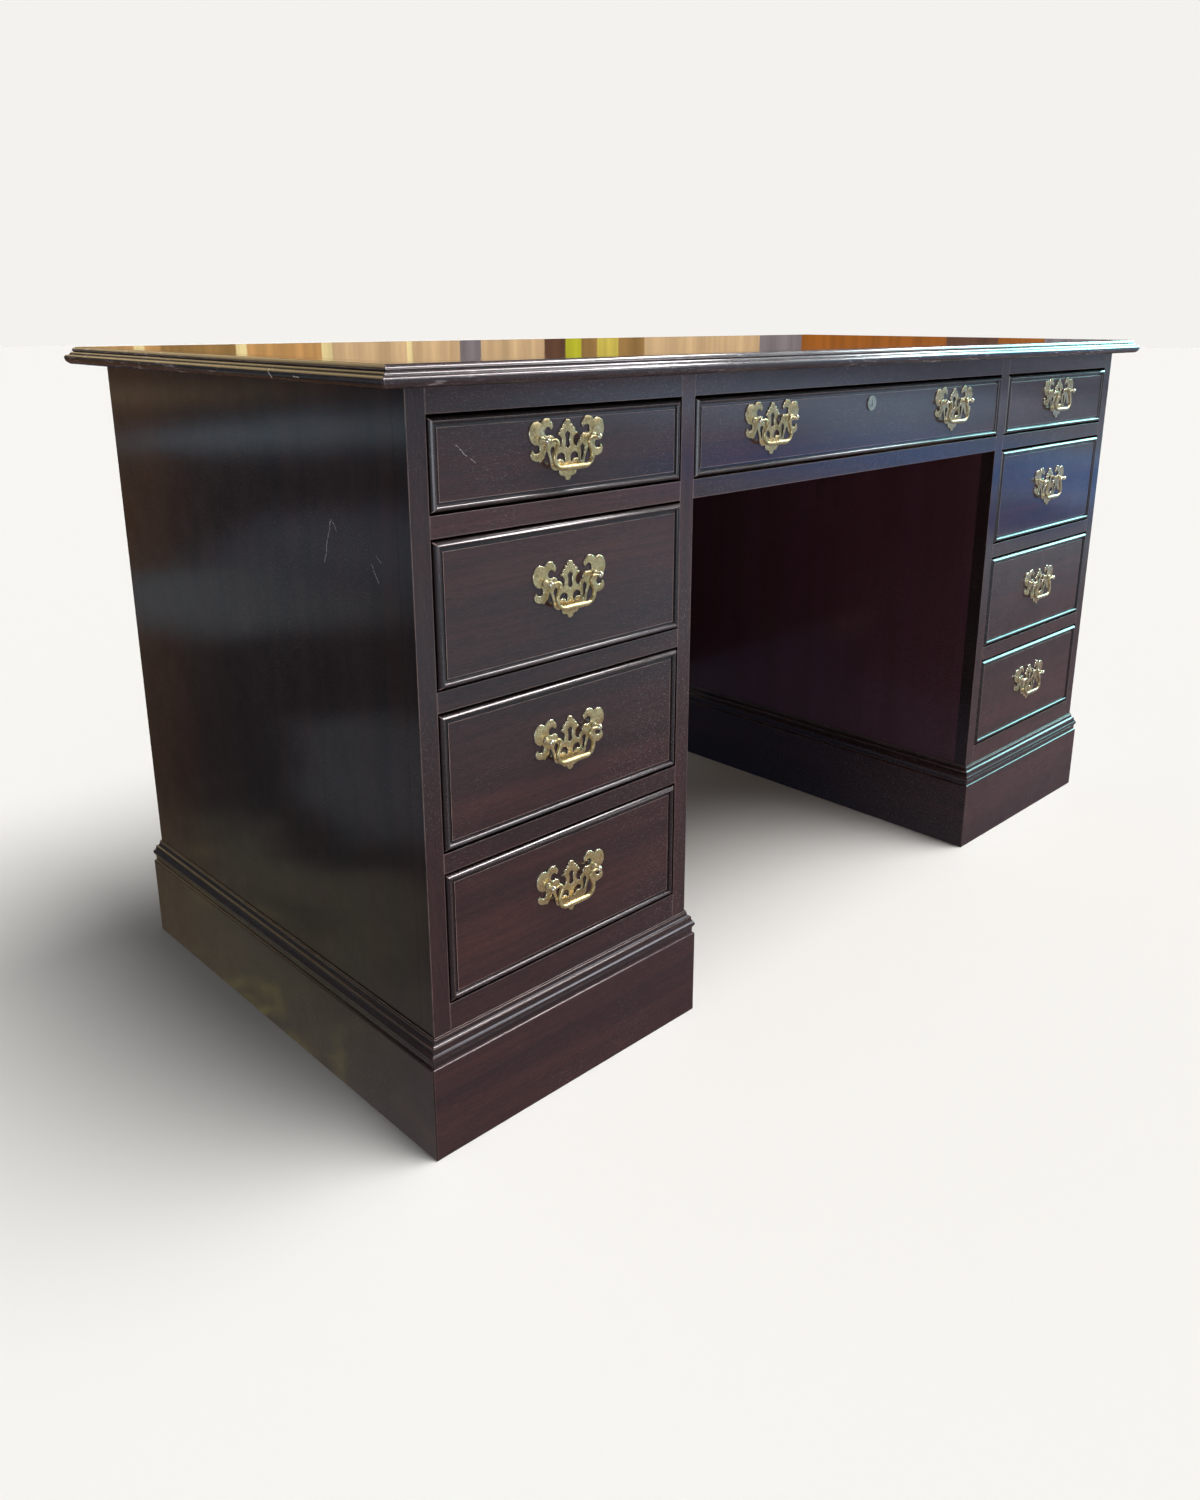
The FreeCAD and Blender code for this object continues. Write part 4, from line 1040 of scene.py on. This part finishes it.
bail_joints = [joint for joint in frame["joints"] if "bail" in joint["child"]]
for count, joint in enumerate(bail_joints):
    bail, drawer = joint["child"], joint["parent"]
    pivot = Vector(joint["pos_m"])
    hung = object_from(bail + "_bar", bail_shape)
    hung.location = pivot
    hung["seed"] = BAIL_SEED_STEP * count
    hung["pale"] = pale_from_left(pivot.x)
    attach(hung, bail)
    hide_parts(bail)
    plate = object_from(bail.replace("bail", "plate_and_posts"), fixture)
    plate.location = pivot + Vector((0, BAIL_STANDOFF * MM, 0))
    plate["seed"] = PLATE_SEED_STEP * count
    plate["pale"] = pale_from_left(pivot.x)
    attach(plate, drawer)
    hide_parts(drawer + "_pull_plate")

lock_finish = nickel("nickel")
dress("lock_housing", lock_finish, 0.2)
dress("lock_plug", lock_finish, 0.1)


# ---------------------------------------- stage
def with_pools(t, colour, x, y, pools):
    """Mix soft round pools of painted light and shade into a floor colour."""
    for (pool_x, pool_y), (reach_x, reach_y), tone in pools:
        across = t.math("POWER", t.math("DIVIDE", t.math("SUBTRACT", x, pool_x), reach_x), 2.0)
        along = t.math("POWER", t.math("DIVIDE", t.math("SUBTRACT", y, pool_y), reach_y), 2.0)
        colour = t.mix(t.remap(t.math("ADD", across, along), 1.0, 0.1), colour, tone)
    return colour


def rectangle(name, half_x, half_y):
    """Flat object in the plane z = 0, round its own origin."""
    mesh = bpy.data.meshes.new(name)
    corners = [(-half_x, -half_y, 0), (half_x, -half_y, 0), (half_x, half_y, 0), (-half_x, half_y, 0)]
    mesh.from_pydata(corners, [], [(0, 1, 2, 3)])
    return object_from(name, mesh)


def make_floor():
    """Pale floor; gloss sees it glow with painted light and shade, as the dim floor of a room."""
    floor = rectangle("floor", FLOOR_HALF_SIZE, FLOOR_HALF_SIZE)
    t = Tree("floor")
    place = t.add("TexCoord").outputs["Object"]
    x, y, _ = t.axes(place)
    front = t.mix(t.remap(y, *NEAR_TO_MIDDLE), FLOOR_NEAR, FLOOR_MIDDLE)
    front = t.mix(t.remap(y, *MIDDLE_TO_FAR), front, FLOOR_FAR)
    front = with_pools(t, front, x, y, FRONT_POOLS)
    ripples = t.remap(t.noise(place, (16, 7, 1), detail=3, distortion=1.5), 0.50, 0.72, 0.0, 0.8)
    skirt = t.mix(ripples, FLOOR_SKIRT, FLOOR_OLIVE)
    side = t.mix(t.remap(x, *SKIRT_TO_SIDE), skirt, FLOOR_SIDE)
    slanted = t.math("ADD", y, t.math("MULTIPLY", x, BACK_SLANT))
    side = t.mix(t.remap(slanted, *SIDE_TO_BACK), side, FLOOR_BACK)
    moved = t.warped(place, 2.2, 3, (0.5, 1.0, 0))
    moved_x, moved_y, _ = t.axes(moved)
    side = with_pools(t, side, moved_x, moved_y, SIDE_POOLS)
    # Painted shade in the kneehole, under the desk
    side = t.mix(t.remap(x, *KNEE_TO_LEFT), FLOOR_KNEE, side)
    side = t.mix(t.remap(x, *KNEE_TO_RIGHT), side, FLOOR_RIGHT)
    colour = t.mix(t.remap(y, *SIDE_TO_FRONT), side, front)
    reflected = t.add("Emission", {"Color": colour})
    shader = t.add("BsdfDiffuse", {"Color": (*PAPER, 1)})
    seen = t.add("LightPath").outputs["Is Glossy Ray"]
    both = t.add("MixShader", {0: seen, 1: shader.outputs[0], 2: reflected.outputs[0]})
    t.add("OutputMaterial", {"Surface": both.outputs[0]})
    floor.data.materials.append(t.owner)


def make_world():
    """Even fill light; the camera sees the paper's own colour, and gloss a dim room."""
    world = bpy.data.worlds.new("studio")
    bpy.context.scene.world = world
    t = Tree(world)
    rays = t.add("LightPath").outputs
    height = t.axes(t.add("TexCoord").outputs["Generated"])[2]
    room = t.mix(height, ROOM_LOW, ROOM_HIGH)
    skies = (((1, 1, 1, 1), FILL_SHARE), (room, 1.0), ((*PAPER, 1), 1.0))
    fill, dim, paper = [t.add("Background", {0: colour, 1: strength}).outputs[0]
                        for colour, strength in skies]
    lit = t.add("MixShader", {0: rays["Is Glossy Ray"], 1: fill, 2: dim}).outputs[0]
    seen = t.add("MixShader", {0: rays["Is Camera Ray"], 1: lit, 2: paper}).outputs[0]
    t.add("OutputWorld", {0: seen})


def banded(t, place, along):
    """Colour of the warm wall: upright bands, each a little uneven."""
    first = WALL_BANDS[0][0]
    width = WALL_BANDS[-1][0] - first
    ramp = t.add("ValToRGB", {0: t.math("DIVIDE", t.math("SUBTRACT", along, first), width)})
    stops = ramp.color_ramp.elements
    ramp.color_ramp.interpolation = "CONSTANT"
    stops.remove(stops[1])
    for start, tone in WALL_BANDS:
        stop = stops[0] if start == first else stops.new((start - first) / width)
        stop.color = (*tone, 1)
    uneven = t.noise(place, (9, 0.4, 1), detail=4, roughness=0.7)
    return t.mix(1.0, ramp.outputs[0], t.remap(uneven, 0.3, 0.7, 0.72, 1.2), "MULTIPLY")


def card(name, middle, towards, size, colour, strength, core=0.6):
    """Glowing card that shows in gloss only; it fades from its core share outwards.

    With no colour it shows the bands of the warm wall.
    """
    half = [s / 2 for s in size]
    panel = rectangle(name, *half)
    panel.location = middle
    panel.rotation_euler = (Vector(towards) - Vector(middle)).to_track_quat("Z", "Y").to_euler()
    for kind in ("camera", "diffuse", "transmission", "volume_scatter", "shadow"):
        setattr(panel, "visible_" + kind, False)
    t = Tree(name)
    place = t.add("TexCoord").outputs["Object"]
    axes = t.axes(place)
    level = strength
    for axis, reach in zip(axes, half):
        edge = t.remap(t.math("ABSOLUTE", axis), reach, reach * core)
        level = t.math("MULTIPLY", edge, level)
    shade = (*colour, 1) if colour else banded(t, place, axes[0])
    glow = t.add("Emission", {"Color": shade, "Strength": level})
    t.add("OutputMaterial", {"Surface": glow.outputs[0]})
    panel.data.materials.append(t.owner)


def make_cards():
    """Strip lights above, windows in front and at both sides, and warm walls behind."""
    card("soft_box", (1.3, -0.9, 2.6), (-0.3, -0.3, 0.6), (3.4, 0.36), (1.0, 0.94, 0.95), 36.0)
    card("white_strip", (2.7, -0.6, 2.3), (0, -0.3, 0.7), (1.6, 0.4), (0.90, 0.94, 1.0), 28.0)
    card("teal_box", (5.0, -0.9, 2.3), (0.5, -0.3, 0.5), (3.4, 1.9), (0.42, 0.95, 0.97), 14.0)
    card("front_window", (3.3, -3.2, 1.75), (0, -0.3, 0.7), (2.8, 0.8), (0.92, 0.85, 1.0), 2.2)
    card("low_window", (1.3, -2.5, 1.65), (-0.45, -0.3, 0.3), (1.6, 0.7), (0.84, 0.90, 1.0), 7.0)
    card("left_window", (-2.6, -2.6, 0.55), (-0.4, -0.3, 0.6), (2.2, 1.3), (0.80, 0.90, 1.0), 4.0)
    card("warm_wall", (4.2, 4.6, 1.1), (0, 0, 1.1), (11.0, 1.5), None, 1.0, 0.9)
    card("back_wall", (-0.6, 5.0, 3.3), (-0.6, 0, 1.0), (6.0, 2.6), (0.95, 0.72, 0.38), 1.4)


def make_sun():
    light = bpy.data.lights.new("sun", "SUN")
    light.energy = SUN_SHARE * math.pi / math.sin(SUN_ELEVATION)
    light.angle = SUN_SIZE
    sun = bpy.data.objects.new("sun", light)
    sun.visible_glossy = False
    bpy.context.scene.collection.objects.link(sun)
    towards = Vector((math.sin(SUN_AZIMUTH) * math.cos(SUN_ELEVATION),
                      -math.cos(SUN_AZIMUTH) * math.cos(SUN_ELEVATION),
                      math.sin(SUN_ELEVATION)))
    sun.rotation_euler = towards.to_track_quat("Z", "Y").to_euler()


def make_camera():
    data = bpy.data.cameras.new("camera")
    data.lens = CAMERA_LENS
    data.sensor_width = SENSOR_WIDTH
    data.shift_x = CAMERA_SHIFT_X
    data.shift_y = CAMERA_SHIFT_Y
    data.clip_start = NEAR_CLIP
    camera = bpy.data.objects.new("camera", data)
    bpy.context.scene.collection.objects.link(camera)
    look = Vector((math.sin(CAMERA_YAW) * math.cos(CAMERA_PITCH),
                   math.cos(CAMERA_YAW) * math.cos(CAMERA_PITCH),
                   -math.sin(CAMERA_PITCH)))
    turn = look.to_track_quat("-Z", "Y").to_matrix().to_4x4()
    roll = Matrix.Rotation(-CAMERA_ROLL, 4, "Z")
    camera.matrix_world = Matrix.Translation(CAMERA_PLACE) @ turn @ roll
    bpy.context.scene.camera = camera


make_floor()
make_world()
make_cards()
make_sun()
make_camera()
bpy.context.scene.view_settings.view_transform = "Standard"
